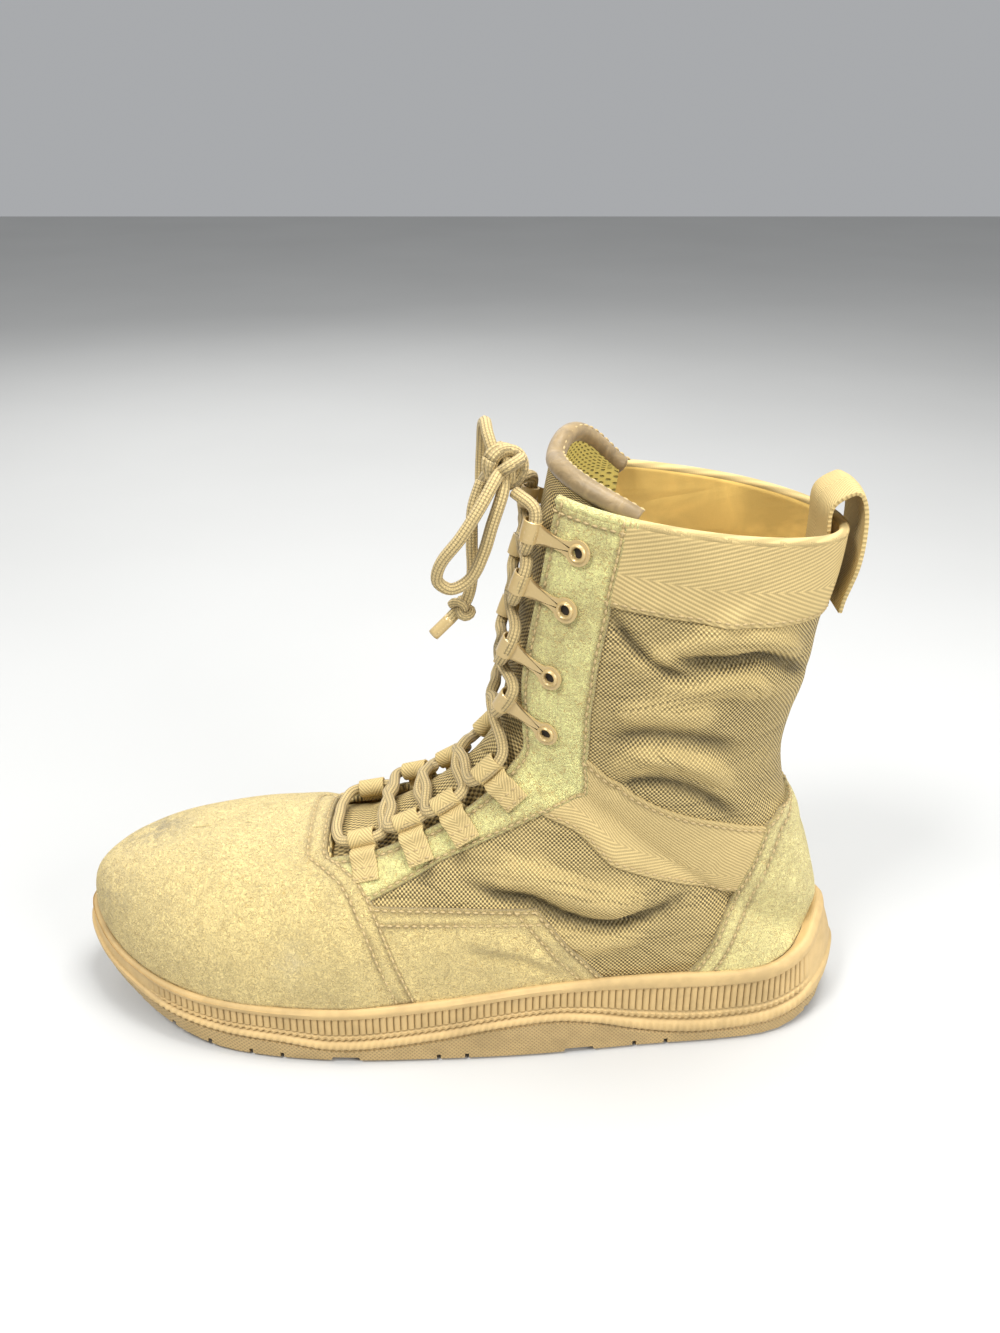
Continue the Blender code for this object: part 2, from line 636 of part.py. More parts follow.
def cut_along(sole, name, share):
    """A lengthwise groove under the sole, swept along its underside."""
    alongs = np.linspace(0.13, 0.90, 16)
    sway = 0.035 * BALL_WIDTH * np.sin(np.linspace(0, 5 * math.pi, len(alongs)))
    centre = BALL_WIDTH * 0.045 * np.sin(math.pi * np.clip(alongs - 0.3, 0, 1)) - MIDDLE * 0.5
    side = share * BALL_WIDTH + sway + centre
    low = SOLE_HEIGHT * np.maximum(read(GROUND, "height", alongs), 0)
    half = SIPE_WIDTH * 0.9
    bm = bmesh.new()
    loops = []
    for x, y, z in zip(x_of(alongs), side, low):
        box = ((-half, -0.006), (half, -0.006), (half, SIPE_DEPTH * 0.8), (-half, SIPE_DEPTH * 0.8))
        loops.append([bm.verts.new((x, y + dy, z + dz)) for dy, dz in box])
    for first, second in zip(loops, loops[1:]):
        for i in range(4):
            bm.faces.new((first[i - 1], first[i], second[i], second[i - 1]))
    bm.faces.new(loops[0])
    bm.faces.new(loops[-1])
    cut(sole, cutter(name, bm))


def make_midsole():
    """A rubber cup: lower ridge, recessed ribs, top bead, and a floor inside the rim."""
    edge = SoleEdge(SOLE_STEPS)
    core = edge.ground + OUTSOLE_CORE
    low = np.maximum(edge.parting, core - 0.001) + 2 * GAP
    rise = edge.rim - low
    ribbed = (edge.there > 0.045) & (edge.there < 0.955)
    ribs = np.where(ribbed & (np.arange(len(edge.there)) % 2 == 0), -RIB_DEPTH, 0.0)

    def row(share, inward):
        return edge.ring(low + share * rise, inward)

    recess = np.where(ribbed, 0.0015, 0.0006)
    rings = [
        edge.ring(core + 2 * GAP, SOLE_WRAP),
        row(0.0, 0.0007),
        row(0.07, -0.0003),
        row(0.30, -0.0003),
        row(0.36, recess + ribs),
        row(0.74, recess + ribs),
        row(0.80, 0.0),
        edge.rim_ring(edge.rim - RIM_BEVEL, 0.0),
        edge.rim_ring(edge.rim, RIM_BEVEL),
        edge.rim_ring(edge.rim, RIM_WALL),
        edge.rim_ring(edge.floor, RIM_WALL),
    ]
    return ring_solid("midsole", rings, "rubber")


def make_insole():
    """A loose footbed inside the upper, with a low dish."""
    edge = SoleEdge(INSOLE_STEPS)
    inside = RIM_WALL + GAP + UPPER_WALL + 0.0030
    low = edge.floor + GAP
    rings = [
        edge.rim_ring(low, inside + 0.0010),
        edge.rim_ring(low + 0.0010, inside),
        edge.rim_ring(low + INSOLE_THICKNESS, inside + 0.0004),
        edge.rim_ring(low + 0.75 * INSOLE_THICKNESS, inside + 0.012),
    ]
    return ring_solid("insole", rings, "lining")


def side_rows(last, bases, low, high, columns):
    """Rows of base and across values between two edges."""
    share = np.linspace(0, 1, columns + 1)
    return [[(base, lo + (hi - lo) * s) for s in share] for base, lo, hi in zip(bases, low, high)]


def points_on(last, rows, height):
    rows = np.array(rows)
    return last.raised(rows[..., 0], rows[..., 1], height)


def make_upper():
    """The hollow body: vamp over both sides, and two quarters that meet at the back seam."""
    sheets = []
    toe_share = np.linspace(0, 1, VAMP_ROWS + 1)
    vamp_bases = THROAT_BASE * toe_share
    for last in lasts.values():
        edge = last.throat(THROAT_BASE)
        columns = np.concatenate([
            edge * spaced(SIDE_COLUMNS),
            edge + (1 - edge) * np.linspace(0, 1, RIDGE_COLUMNS + 1)[1:],
        ])
        sheets.append(last.at(vamp_bases[:, None], columns[None, :]))
        bases = quarter_bases()
        tops = np.array([last.throat(base) for base in bases])
        across = tops[:, None] * spaced(SIDE_COLUMNS)
        sheets.append(last.at(bases[:, None], across))
    return shell("upper", sheets, UPPER_WALL, "nylon", outward=False)


def make_vamp_suede():
    """Suede over the toe and vamp, both sides, down to the rim."""
    sheets = []
    share = np.linspace(0, 1, VAMP_ROWS + 1)
    for last in lasts.values():
        edge = last.find(VAMP_EDGE["along"], VAMP_EDGE["level"])
        order = edge[:, 1].argsort()
        bases = np.linspace(0, THROAT_BASE, 160)
        rims = np.array([last.rim_across(base) for base in bases])
        first = bases[np.argmax(rims < 1) - 1]
        columns = np.linspace(0, 1, 11)
        rows = []
        for s in share:
            row = []
            for column in columns:
                across = column
                for _ in range(4):
                    limit = min(float(np.interp(across, edge[order, 1], edge[order, 0])), THROAT_BASE - 0.004)
                    base = first + (limit - first) * s
                    rim = float(np.interp(base, bases, rims))
                    across = rim + (1 - rim) * column
                row.append((base, across))
            rows.append(row)
        sheets.append(points_on(last, rows, OVERLAY_GAP))
    return shell("vamp_suede", sheets, SUEDE, "suede")


def edge_in_base(last, columns):
    """An edge given from the side, as across values over base values."""
    found = last.find(columns["along"], columns["level"])
    order = found[:, 0].argsort()
    return found[order, 0], found[order, 1]


def make_eyestay(name, last):
    """Suede facing along the throat, from the vamp to the collar."""
    base_knots, across_knots = edge_in_base(last, EYESTAY_EDGE)
    start = THROAT_BASE + 0.004
    bases = start + (2 - start) * np.linspace(0, 1, 17)
    low = np.interp(bases, base_knots, across_knots)
    high = np.array([last.throat(base) for base in bases]) - 0.008
    rows = side_rows(last, bases, low, high, 6)
    return shell(f"eyestay_{name}", [points_on(last, rows, OVERLAY_GAP)], SUEDE, "suede")


def patch(last, lower, upper, rows, columns):
    """Base and across values of a four-sided piece between two edges given from the side."""

    def along_edge(edge, at):
        line = np.stack([edge["along"], edge["level"]], axis=1)
        run = np.concatenate([[0], np.cumsum(np.linalg.norm(np.diff(line, axis=0), axis=1))])
        return np.stack([smooth(run / run[-1], line[:, k], at) for k in (0, 1)], axis=-1)

    share = np.linspace(0, 1, columns + 1)
    low, high = along_edge(lower, share), along_edge(upper, share)
    places = [low + (high - low) * step for step in np.linspace(0, 1, rows + 1)]
    return [last.find(place[:, 0], place[:, 1]) for place in places]


def make_side_suede(name, last):
    """Low suede panel behind the vamp, standing on the rim."""
    along = np.linspace(SIDE_SUEDE_FOOT[0], SIDE_SUEDE_FOOT[1], 6)
    rim = SOLE_HEIGHT * read(RIM, "height", along) + 0.0008
    foot = {"along": along, "level": (rim - SOLE_HEIGHT) / (INSTEP_HEIGHT - SOLE_HEIGHT)}
    rows = patch(last, foot, SIDE_SUEDE_TOP, 5, 9)
    return shell(f"side_suede_{name}", [points_on(last, rows, OVERLAY_GAP)], SUEDE, "suede")


def make_ankle_tape(name, last):
    """Slanting tape from the eyestay's corner to the counter."""
    rows = patch(last, TAPE_LOWER, TAPE_UPPER, 4, 12)
    return shell(f"ankle_tape_{name}", [points_on(last, rows, OVERLAY_GAP)], TAPE, "tape")


def make_heel_counter():
    """Suede round the back of the heel, both sides, from the rim to a point at the back seam."""
    sheets = []
    for last in lasts.values():
        bases, across = edge_in_base(last, COUNTER_EDGE)
        top = float(np.interp(COUNTER_EDGE["level"][-1], BACK["level"], BACK["base"]))
        bases, across = np.append(bases, top), np.append(across, 0.0)
        order = bases.argsort()
        rows = quarter_bases()
        rows = rows[(rows > bases.min()) & (rows < 1.25)]
        places = np.concatenate([[bases.min()], rows, np.linspace(1.25, top, 6)])
        low = np.array([last.rim_across(base) for base in places])
        high = np.maximum(np.interp(places, bases[order], across[order]), low)
        rows = [[(base, lo + (hi - lo) * s) for s in spaced(8)] for base, lo, hi in zip(places, low, high)]
        sheets.append(points_on(last, rows, COUNTER_GAP))
    return shell("heel_counter", sheets, SUEDE, "suede")


def make_collar_tape():
    """Tape round the collar, between the two eyestays."""
    sheets = []
    for last in lasts.values():
        base_knots, across_knots = edge_in_base(last, EYESTAY_EDGE)
        share = np.linspace(0, 1, 10)
        rows = []
        for step in np.linspace(0, 1, 4):
            row = []
            for s in share:
                base = 2.0
                for _ in range(4):
                    across = s * (float(np.interp(base, base_knots, across_knots)) - 0.009)
                    drop = last.at(2.0, across)[2] - COLLAR_TAPE_HEIGHT * (1 - step)
                    bases = np.linspace(1.3, 2, 60)
                    base = float(np.interp(drop, last.at(bases, across)[:, 2], bases))
                row.append((base, across))
            rows.append(row)
        sheets.append(points_on(last, rows, OVERLAY_GAP))
    return shell("collar_tape", sheets, TAPE, "tape")


def make_tongue():
    """Padded tongue under the throat, with a rounded top above the collar."""
    under = UPPER_WALL + TONGUE_CLEARANCE
    start = THROAT_BASE - 0.035
    bases = start + (2 - start) * np.linspace(0, 1, 20)
    wing = np.interp(bases, (start, 0.6, 1.2, 2.0), (0.0245, 0.0275, 0.030, 0.0315))
    sheets = []
    for last in lasts.values():
        rows = []
        for base, half in zip(bases, wing):
            low = last.across_at_side(base, half)
            across = np.linspace(low, 1, 5)
            rows.append(last.raised(base, across, -under))
        top = rows[-1]
        share = np.linspace(0, 1, 5)
        if last.side == LATERAL:
            crown = 0.10 + 0.50 * np.sin(share * math.pi / 2) ** 0.8
        else:
            crown = 0.10 + 0.50 * share + 0.60 * np.sin(share * math.pi) ** 1.2
        up = last.front(2.0) - last.front(1.9)
        up /= np.linalg.norm(up)
        for step in np.linspace(0, 1, 4)[1:]:
            rows.append(top + (TONGUE_RISE * step * crown)[:, None] * up + (0, 0, 0.0002 * step))
        sheets.append(np.array(rows))
    return shell("tongue", sheets, TONGUE_THICKNESS, "lining", outward=False)


def make_pull_loop():
    """Folded tape at the back, from inside the collar, over and down to the tape's lower edge."""
    back = lasts["lateral"].base
    collar, foot = back(np.array(2.0)), back(np.array(1.85))
    inside = -UPPER_WALL - GAP - LOOP_THICKNESS / 2 - LOOP_SAG
    outside = OVERLAY_GAP + TAPE + GAP + LOOP_THICKNESS / 2
    route = [
        (collar[0] + inside - 0.0004, collar[2] - 0.014),
        (collar[0] + inside, collar[2] - 0.002),
        (collar[0] + inside + 0.0004, collar[2] + 0.009),
        (collar[0] - 0.0006, collar[2] + 0.0142),
        (collar[0] + 0.0024, collar[2] + 0.0130),
        (collar[0] + 0.0042, collar[2] + 0.0075),
        (collar[0] + 0.0046, collar[2] - 0.0020),
        (collar[0] + 0.0038, collar[2] - 0.0120),
        (foot[0] + outside + 0.0012, foot[2] + 0.0040),
        (foot[0] + outside + 0.0006, foot[2] - 0.0015),
    ]
    route = resampled([(x, -MIDDLE, z) for x, z in route], 0.0035)
    half = LOOP_WIDTH / 2
    rows = [[(x, y + side * half, z) for side in np.linspace(-1, 1, 4)] for x, y, z in route]
    made = shell("pull_loop", [rows], LOOP_THICKNESS, "tape")
    made.modifiers["wall"].offset = 0
    return made


def resampled(points, step):
    """Points read at even steps from a smooth curve through the given ones."""
    points = np.array(points, float)
    knots = np.concatenate([[0], np.cumsum(np.linalg.norm(np.diff(points, axis=0), axis=1))])
    at = np.linspace(0, knots[-1], max(2, round(knots[-1] / step) + 1))
    return np.stack([smooth(knots, points[:, k], at) for k in range(3)], axis=1)


def holder_bases(last):
    """Where along the base line the tabs and then the hooks stand on the throat's edge."""
    bases = np.linspace(THROAT_BASE, 2, 160)
    edge = np.array([last.at(base, last.throat(base)) for base in bases])
    tabs = np.interp(x_of(TABS_ALONG), edge[:, 0], bases)
    hooks = np.interp(z_of(HOOK_LEVELS), edge[:, 2], bases)
    return tabs, hooks


def edge_frame(last, base):
    """A frame at the throat's edge, level with the surface beside it: forward, along and outward."""
    half = THROAT_WIDTH * float(read(THROAT, "half", base))
    edge = last.at(base, last.throat(base))
    beside = last.across_at_side(base, half + GROMMET_SETBACK / 2)
    middle, out = last.at(base, beside), last.normal(base, beside)
    forward = edge - middle
    forward -= out * forward.dot(out)
    reach = np.linalg.norm(forward)
    forward /= reach
    along = np.cross(out, forward)
    frame = Matrix((forward, along, out)).transposed().to_4x4()
    frame.translation = middle + forward * reach
    return frame


RIVET_HOLE = BARREL_RADIUS * 1.08 + GAP
HOOK_RISE = OVERLAY_GAP + SUEDE + 0.0009
TAB_RISE = HOOK_RISE + 0.0014
CHANNEL_RADIUS = LACE / 2 + CHANNEL_CLEARANCE
CHANNEL_FORWARD = CHANNEL_RADIUS + HOOK_SHEET + 0.0017
CHANNEL_OUT = 0.0016


def joined(name, objects):
    """One mesh from overlapping helper objects, by Boolean union."""
    first, *rest = objects
    for tool in rest:
        change = first.modifiers.new(tool.name, "BOOLEAN")
        change.operation = "UNION"
        change.object = tool
    bpy.context.view_layer.update()
    mesh = bpy.data.meshes.new_from_object(first.evaluated_get(bpy.context.evaluated_depsgraph_get()))
    mesh.name = name
    for tool in objects:
        bpy.data.objects.remove(tool)
    return mesh


def helper(name, bm):
    made = bpy.data.objects.new(name, mesh_of(name, bm))
    cutters.objects.link(made)
    made.hide_render = True
    return made


def hook_plate():
    """The flat tear-drop plate, from round the grommet to the rolled channel."""
    outline = []
    for i in range(7):
        turn = math.radians(60 + 240 * i / 6)
        outline.append((-GROMMET_SETBACK + GROMMET_RADIUS * math.cos(turn), GROMMET_RADIUS * math.sin(turn)))
    neck = -GROMMET_SETBACK + GROMMET_RADIUS + 0.0012
    tip = CHANNEL_FORWARD - 0.0034
    outline += [(neck, -0.0019), (tip - 0.002, -0.0030), (tip, -0.0034)]
    outline += [(tip, 0.0034), (tip - 0.002, 0.0030), (neck, 0.0019)]
    bm = bmesh.new()
    face = bm.faces.new([bm.verts.new((x, y, HOOK_RISE)) for x, y in outline])
    grown = bmesh.ops.extrude_face_region(bm, geom=[face])
    moved = [item for item in grown["geom"] if isinstance(item, bmesh.types.BMVert)]
    bmesh.ops.translate(bm, verts=moved, vec=(0, 0, HOOK_SHEET))
    return helper("hook_plate", bm)


def turned(name, profile, steps):
    """A closed profile of radius and height turned about Z."""
    bm = bmesh.new()
    verts = [bm.verts.new((radius, 0, height)) for radius, height in profile]
    edges = [bm.edges.new((verts[i - 1], verts[i])) for i in range(len(verts))]
    bmesh.ops.spin(
        bm, geom=verts + edges, cent=(0, 0, 0), axis=(0, 0, 1), angle=2 * math.pi, steps=steps, use_merge=True
    )
    bmesh.ops.remove_doubles(bm, verts=bm.verts, dist=1e-6)
    return bm


def hook_grommet():
    """Rolled grommet with its barrel down through the wall."""
    top = HOOK_RISE + HOOK_SHEET
    foot = -UPPER_WALL + 0.0003
    profile = [
        (GROMMET_HOLE, foot), (BARREL_RADIUS, foot), (BARREL_RADIUS, HOOK_RISE + 0.0002),
        (GROMMET_RADIUS - 0.0006, HOOK_RISE + 0.0002), (0.0030, top + 0.0009),
        (GROMMET_HOLE, top + 0.0004),
    ]
    bm = turned("hook_grommet", profile, 8)
    bmesh.ops.translate(bm, verts=bm.verts, vec=(-GROMMET_SETBACK, 0, 0))
    return helper("hook_grommet", bm)


def hook_channel():
    """The rolled channel that holds the lace along the throat's edge."""
    outer = CHANNEL_RADIUS + HOOK_SHEET
    half = HOOK_LENGTH / 2
    profile = [(CHANNEL_RADIUS, -half), (outer, -half), (outer, half), (CHANNEL_RADIUS, half)]
    bm = turned("hook_channel", profile, 10)
    turn = Matrix.Rotation(math.pi / 2, 4, "X")
    place = Matrix.Translation((CHANNEL_FORWARD, 0, CHANNEL_OUT)) @ turn
    bmesh.ops.transform(bm, matrix=place, verts=bm.verts)
    return helper("hook_channel", bm)


def make_hooks(uppers):
    """Four metal lace hooks a side, riveted through eyestay and upper."""
    mesh = joined("lace_hook", [hook_plate(), hook_grommet(), hook_channel()])
    mesh.materials.clear()
    mesh.shade_smooth()
    mesh.set_sharp_from_angle(angle=math.radians(38))
    mesh.materials.append(material("metal"))
    for name, last in lasts.items():
        for i, base in enumerate(holder_bases(last)[1]):
            frame = edge_frame(last, base)
            made = bpy.data.objects.new(f"lace_hook_{name}_{i + 1}", mesh)
            parts.objects.link(made)
            made.matrix_world = frame
            bm = bmesh.new()
            bmesh.ops.create_cone(
                bm, cap_ends=True, segments=8, radius1=RIVET_HOLE, radius2=RIVET_HOLE, depth=0.014
            )
            bmesh.ops.translate(bm, verts=bm.verts, vec=(-GROMMET_SETBACK, 0, 0))
            bmesh.ops.transform(bm, matrix=frame, verts=bm.verts)
            tool = cutter(f"rivet_hole_{name}_{i + 1}", bm)
            cut(uppers["upper"], tool)
            cut(uppers[name], tool)


def tab_mesh():
    """A folded tape tab: a tail on the eyestay and a loop round the lace, before the throat's edge."""
    inner, outer = CHANNEL_RADIUS, CHANNEL_RADIUS + TAPE
    low, high = TAB_RISE, TAB_RISE + TAPE
    forward = TAB_FORWARD
    tail = -0.0110
    turns = np.radians(np.arange(0, 360, 40))
    bm = bmesh.new()
    ring = [(forward + outer * math.cos(t), CHANNEL_OUT + outer * math.sin(t)) for t in turns]
    hole = [(forward + inner * math.cos(t), CHANNEL_OUT + inner * math.sin(t)) for t in turns]
    half = TAB_WIDTH / 2
    loops = [[bm.verts.new((x, side, z)) for x, z in line] for side in (-half, half) for line in (ring, hole)]
    near_out, near_in, far_out, far_in = loops
    for i in range(len(ring)):
        bm.faces.new((near_out[i - 1], near_out[i], near_in[i], near_in[i - 1]))
        bm.faces.new((far_out[i - 1], far_in[i - 1], far_in[i], far_out[i]))
        bm.faces.new((near_out[i - 1], far_out[i - 1], far_out[i], near_out[i]))
        bm.faces.new((near_in[i - 1], near_in[i], far_in[i], far_in[i - 1]))
    loop = helper("tab_loop", bm)
    bm = bmesh.new()
    bmesh.ops.create_cube(bm, size=1)
    for vert in bm.verts:
        vert.co.x = tail if vert.co.x < 0 else forward - 0.5 * inner - 0.0012
        vert.co.y *= TAB_WIDTH
        vert.co.z = low if vert.co.z < 0 else high
    strap = helper("tab_tail", bm)
    return joined("lace_tab", [loop, strap])


def make_tabs():
    """Four folded tape tabs a side, on the instep."""
    mesh = tab_mesh()
    mesh.materials.clear()
    mesh.shade_flat()
    mesh.materials.append(material("tape"))
    for name, last in lasts.items():
        for i, base in enumerate(holder_bases(last)[0]):
            made = bpy.data.objects.new(f"lace_tab_{name}_{i + 1}", mesh)
            parts.objects.link(made)
            made.matrix_world = edge_frame(last, base)


def holders():
    """Each place that holds the lace, a list a side from the lowest up: its middle, direction, half and base."""
    found = {}
    for name, last in lasts.items():
        tabs, hooks = holder_bases(last)
        kinds = [(base, TAB_FORWARD, TAB_WIDTH / 2) for base in tabs]
        kinds += [(base, CHANNEL_FORWARD, HOOK_LENGTH / 2) for base in hooks]
        places = []
        for base, forward, half in kinds:
            frame = edge_frame(last, base)
            middle = frame @ Vector((forward, 0, CHANNEL_OUT))
            along = np.array(frame.col[1][:3])
            places.append((np.array(middle), along * np.sign(along[2]), half, base))
        found[name] = places
    return found


def over_tongue(base, share):
    """A point of the lace's middle over the tongue: share -1 is the throat's outer edge, 1 its inner."""
    last = lasts["lateral" if share < 0 else "medial"]
    half = abs(share) * THROAT_WIDTH * float(read(THROAT, "half", base))
    return last.raised(base, last.across_at_side(base, max(half, 0.0004)), LACE_OVER)


def knot_middle():
    """The bow's knot, in front of the tongue just above the top hooks."""
    return lasts["lateral"].front(2.0) + KNOT_OFFSET


def run_route(start, places, knot):
    """One half of the lace: from the middle of the lowest bar, from side to side and up to the knot."""
    side = SIDES[start]
    names = {LATERAL: "lateral", MEDIAL: "medial"}
    lowest = places[start][0][3] - 0.055
    points = [over_tongue(lowest, 0.0), over_tongue(lowest, side * 0.45)]
    for i, _ in enumerate(places[start]):
        centre, along, half, base = places[names[side]][i]
        reach = half + 0.0029
        points += [centre - along * reach, centre + along * reach]
        if i + 1 < len(places[start]):
            rise = places[names[-side]][i + 1][3] - base
            for share in CROSSING_SHARES:
                points.append(over_tongue(base + rise * (0.5 - 0.28 * share), side * share))
        side = -side
    points.append(knot + (0.0032, -side * 0.0056, -0.0070))
    return points


def eased(points):
    """The route's own points and one more in each long gap, read from a smooth curve through them."""
    points = np.array(points)
    knots = np.concatenate([[0], np.cumsum(np.linalg.norm(np.diff(points, axis=0), axis=1))])
    gaps = np.diff(knots)
    between = (knots[:-1] + gaps / 2)[gaps > TAB_WIDTH + 0.0072]
    at = np.sort(np.concatenate([knots, between]))
    return np.stack([smooth(knots, points[:, k], at) for k in range(3)], axis=1)


def tube(name, points, colour, collection=None):
    """A round cord along points, as a mesh with welded caps."""
    curve = bpy.data.curves.new(name, "CURVE")
    curve.dimensions = "3D"
    curve.bevel_depth = LACE / 2
    curve.bevel_resolution = 2
    curve.use_fill_caps = True
    curve.twist_mode = "MINIMUM"
    spline = curve.splines.new("POLY")
    spline.points.add(len(points) - 1)
    for place, point in zip(spline.points, points):
        place.co = (*point, 1)
    made = bpy.data.objects.new(name, curve)
    (collection or parts).objects.link(made)
    curve.materials.append(material(colour))
    return made


def make_lace():
    """The lace's crossings as one joined solid, then the knot, two bow loops and two ends."""
    places = holders()
    knot = knot_middle()
    tools = []
    for side in ("lateral", "medial"):
        run = tube(f"run_{side}", eased(run_route(side, places, knot)), "lace", cutters)
        mesh = bpy.data.meshes.new_from_object(run.evaluated_get(bpy.context.evaluated_depsgraph_get()))
        bm = bmesh.new()
        bm.from_mesh(mesh)
        bmesh.ops.remove_doubles(bm, verts=bm.verts, dist=1e-5)
        bpy.data.objects.remove(run)
        tools.append(helper(f"run_mesh_{side}", bm))
    mesh = joined("lace_crossings", tools)
    mesh.materials.clear()
    new_object("lace_crossings", mesh, "lace")
    bm = bmesh.new()
    bmesh.ops.create_uvsphere(bm, u_segments=12, v_segments=8, radius=1)
    bmesh.ops.scale(bm, vec=KNOT_SIZE, verts=bm.verts)
    bmesh.ops.translate(bm, vec=knot, verts=bm.verts)
    new_object("lace_knot", mesh_of("lace_knot", bm), "lace")
    routes = {
        "lace_bow_lateral": LATERAL_BOW,
        "lace_bow_medial": MEDIAL_BOW,
        "lace_end_lateral": LATERAL_END,
        "lace_end_medial": MEDIAL_END,
    }
    for name, route in routes.items():
        tube(name, resampled(np.array(route) + knot, BOW_STEP * 2), "lace")


def clear_scene():
    for old in list(bpy.data.objects):
        bpy.data.objects.remove(old)


def new_collection(name):
    made = bpy.data.collections.new(name)
    bpy.context.scene.collection.children.link(made)
    return made


clear_scene()
parts = new_collection("combat_boot")
cutters = new_collection("cutters")
make_outsole()
make_midsole()
make_insole()
uppers = {"upper": make_upper()}
make_vamp_suede()
for side_name, side_last in lasts.items():
    uppers[side_name] = make_eyestay(side_name, side_last)
    make_side_suede(side_name, side_last)
    make_ankle_tape(side_name, side_last)
make_heel_counter()
make_collar_tape()
make_tongue()
make_pull_loop()
make_hooks(uppers)
make_tabs()
make_lace()
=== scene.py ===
"""Looks of a lace-up combat boot for the left foot, standing empty on its sole.

Metres, +Z up, toe to -X, outer (lateral) side to -Y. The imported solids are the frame.
The last's tables are the source's own, so cloth, suede and tape are laid on the same surface.
"""

import json
import math

import bmesh
import bpy
import numpy as np
from mathutils import Matrix, Vector

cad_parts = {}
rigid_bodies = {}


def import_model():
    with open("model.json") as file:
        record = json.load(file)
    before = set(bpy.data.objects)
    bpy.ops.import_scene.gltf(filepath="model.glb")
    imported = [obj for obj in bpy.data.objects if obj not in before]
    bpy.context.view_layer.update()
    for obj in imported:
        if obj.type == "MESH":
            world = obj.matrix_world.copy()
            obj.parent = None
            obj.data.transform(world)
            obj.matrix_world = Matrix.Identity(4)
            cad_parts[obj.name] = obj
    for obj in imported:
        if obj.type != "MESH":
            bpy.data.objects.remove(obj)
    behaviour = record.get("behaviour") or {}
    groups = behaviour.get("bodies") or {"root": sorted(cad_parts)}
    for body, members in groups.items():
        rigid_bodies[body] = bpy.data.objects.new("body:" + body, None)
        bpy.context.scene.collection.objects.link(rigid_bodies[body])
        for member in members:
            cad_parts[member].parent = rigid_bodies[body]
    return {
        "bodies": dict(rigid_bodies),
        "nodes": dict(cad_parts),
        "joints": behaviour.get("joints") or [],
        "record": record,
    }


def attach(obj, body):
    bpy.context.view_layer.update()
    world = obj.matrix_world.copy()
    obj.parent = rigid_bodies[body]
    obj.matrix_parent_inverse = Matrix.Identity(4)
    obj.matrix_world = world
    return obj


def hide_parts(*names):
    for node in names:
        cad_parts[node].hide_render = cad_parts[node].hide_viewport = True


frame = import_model()

bl_info = {
    "name": "Combat Boot",
    "version": (1, 0, 0),
    "blender": (4, 5, 0),
    "location": "View3D > Sidebar > Boot",
    "description": "Dresses the solids of a lace-up combat boot in suede, woven nylon, tape and rubber",
    "category": "Add Mesh",
}

# Driving dimensions, in metres
LENGTH = 0.314
BALL_WIDTH = 0.1085
SHAFT_WIDTH = 0.070
SOLE_HEIGHT = 0.0253
INSTEP_HEIGHT = 0.082
COLLAR_HEIGHT = 0.219
THROAT_WIDTH = 0.036
UPPER_WALL = 0.0022
TAPE = 0.0012
GAP = 0.0003
OVERLAY_GAP = 0.0006
TOE_TUCK = 0.009
HEEL_LEAN = 0.0095
RIM_WALL = 0.0026
RIB_DEPTH = 0.0011
RIM_CLEARANCE = 0.0018
SOLE_WRAP = 0.006
OUTSOLE_CORE = 0.0052
TONGUE_THICKNESS = 0.0034
TONGUE_CLEARANCE = 0.0013
TONGUE_RISE = 0.015
COLLAR_TAPE_HEIGHT = 0.029
LOOP_WIDTH = 0.024
LOOP_THICKNESS = 0.0018
LOOP_SAG = 0.0043
LACE = 0.0042
TAB_WIDTH = 0.0098
HOOK_SHEET = 0.0008
HOOK_LENGTH = 0.0078
GROMMET_HOLE = 0.0018
GROMMET_SETBACK = 0.0128
CHANNEL_CLEARANCE = 0.0014

TAB_FORWARD = LACE / 2 + CHANNEL_CLEARANCE + TAPE + 0.0011
LACE_OVER = 0.0008
CROSSING_SHARES = (0.34, 0.0, -0.34)
KNOT_OFFSET = np.array((-0.0105, -0.006, 0.007))

NUDGE = 1e-4
LATERAL, MEDIAL = -1, 1
SIDES = {"lateral": LATERAL, "medial": MEDIAL}


def table(names, *rows):
    """Named columns, from a row of names and a row of numbers for each place."""
    return dict(zip(names.split(), np.array(rows, float).T))


# Half widths of the sole, as shares of the ball width, at shares of the length from heel to toe
OUTLINE = table(
    "along lateral medial",
    (0.013, 0.129, 0.106),
    (0.045, 0.249, 0.212),
    (0.100, 0.336, 0.300),
    (0.170, 0.373, 0.332),
    (0.270, 0.401, 0.336),
    (0.410, 0.447, 0.368),
    (0.545, 0.470, 0.447),
    (0.650, 0.475, 0.508),
    (0.750, 0.447, 0.525),
    (0.840, 0.378, 0.486),
    (0.910, 0.272, 0.398),
    (0.970, 0.124, 0.253),
)
HEEL_END, TOE_END = -0.009, 0.055

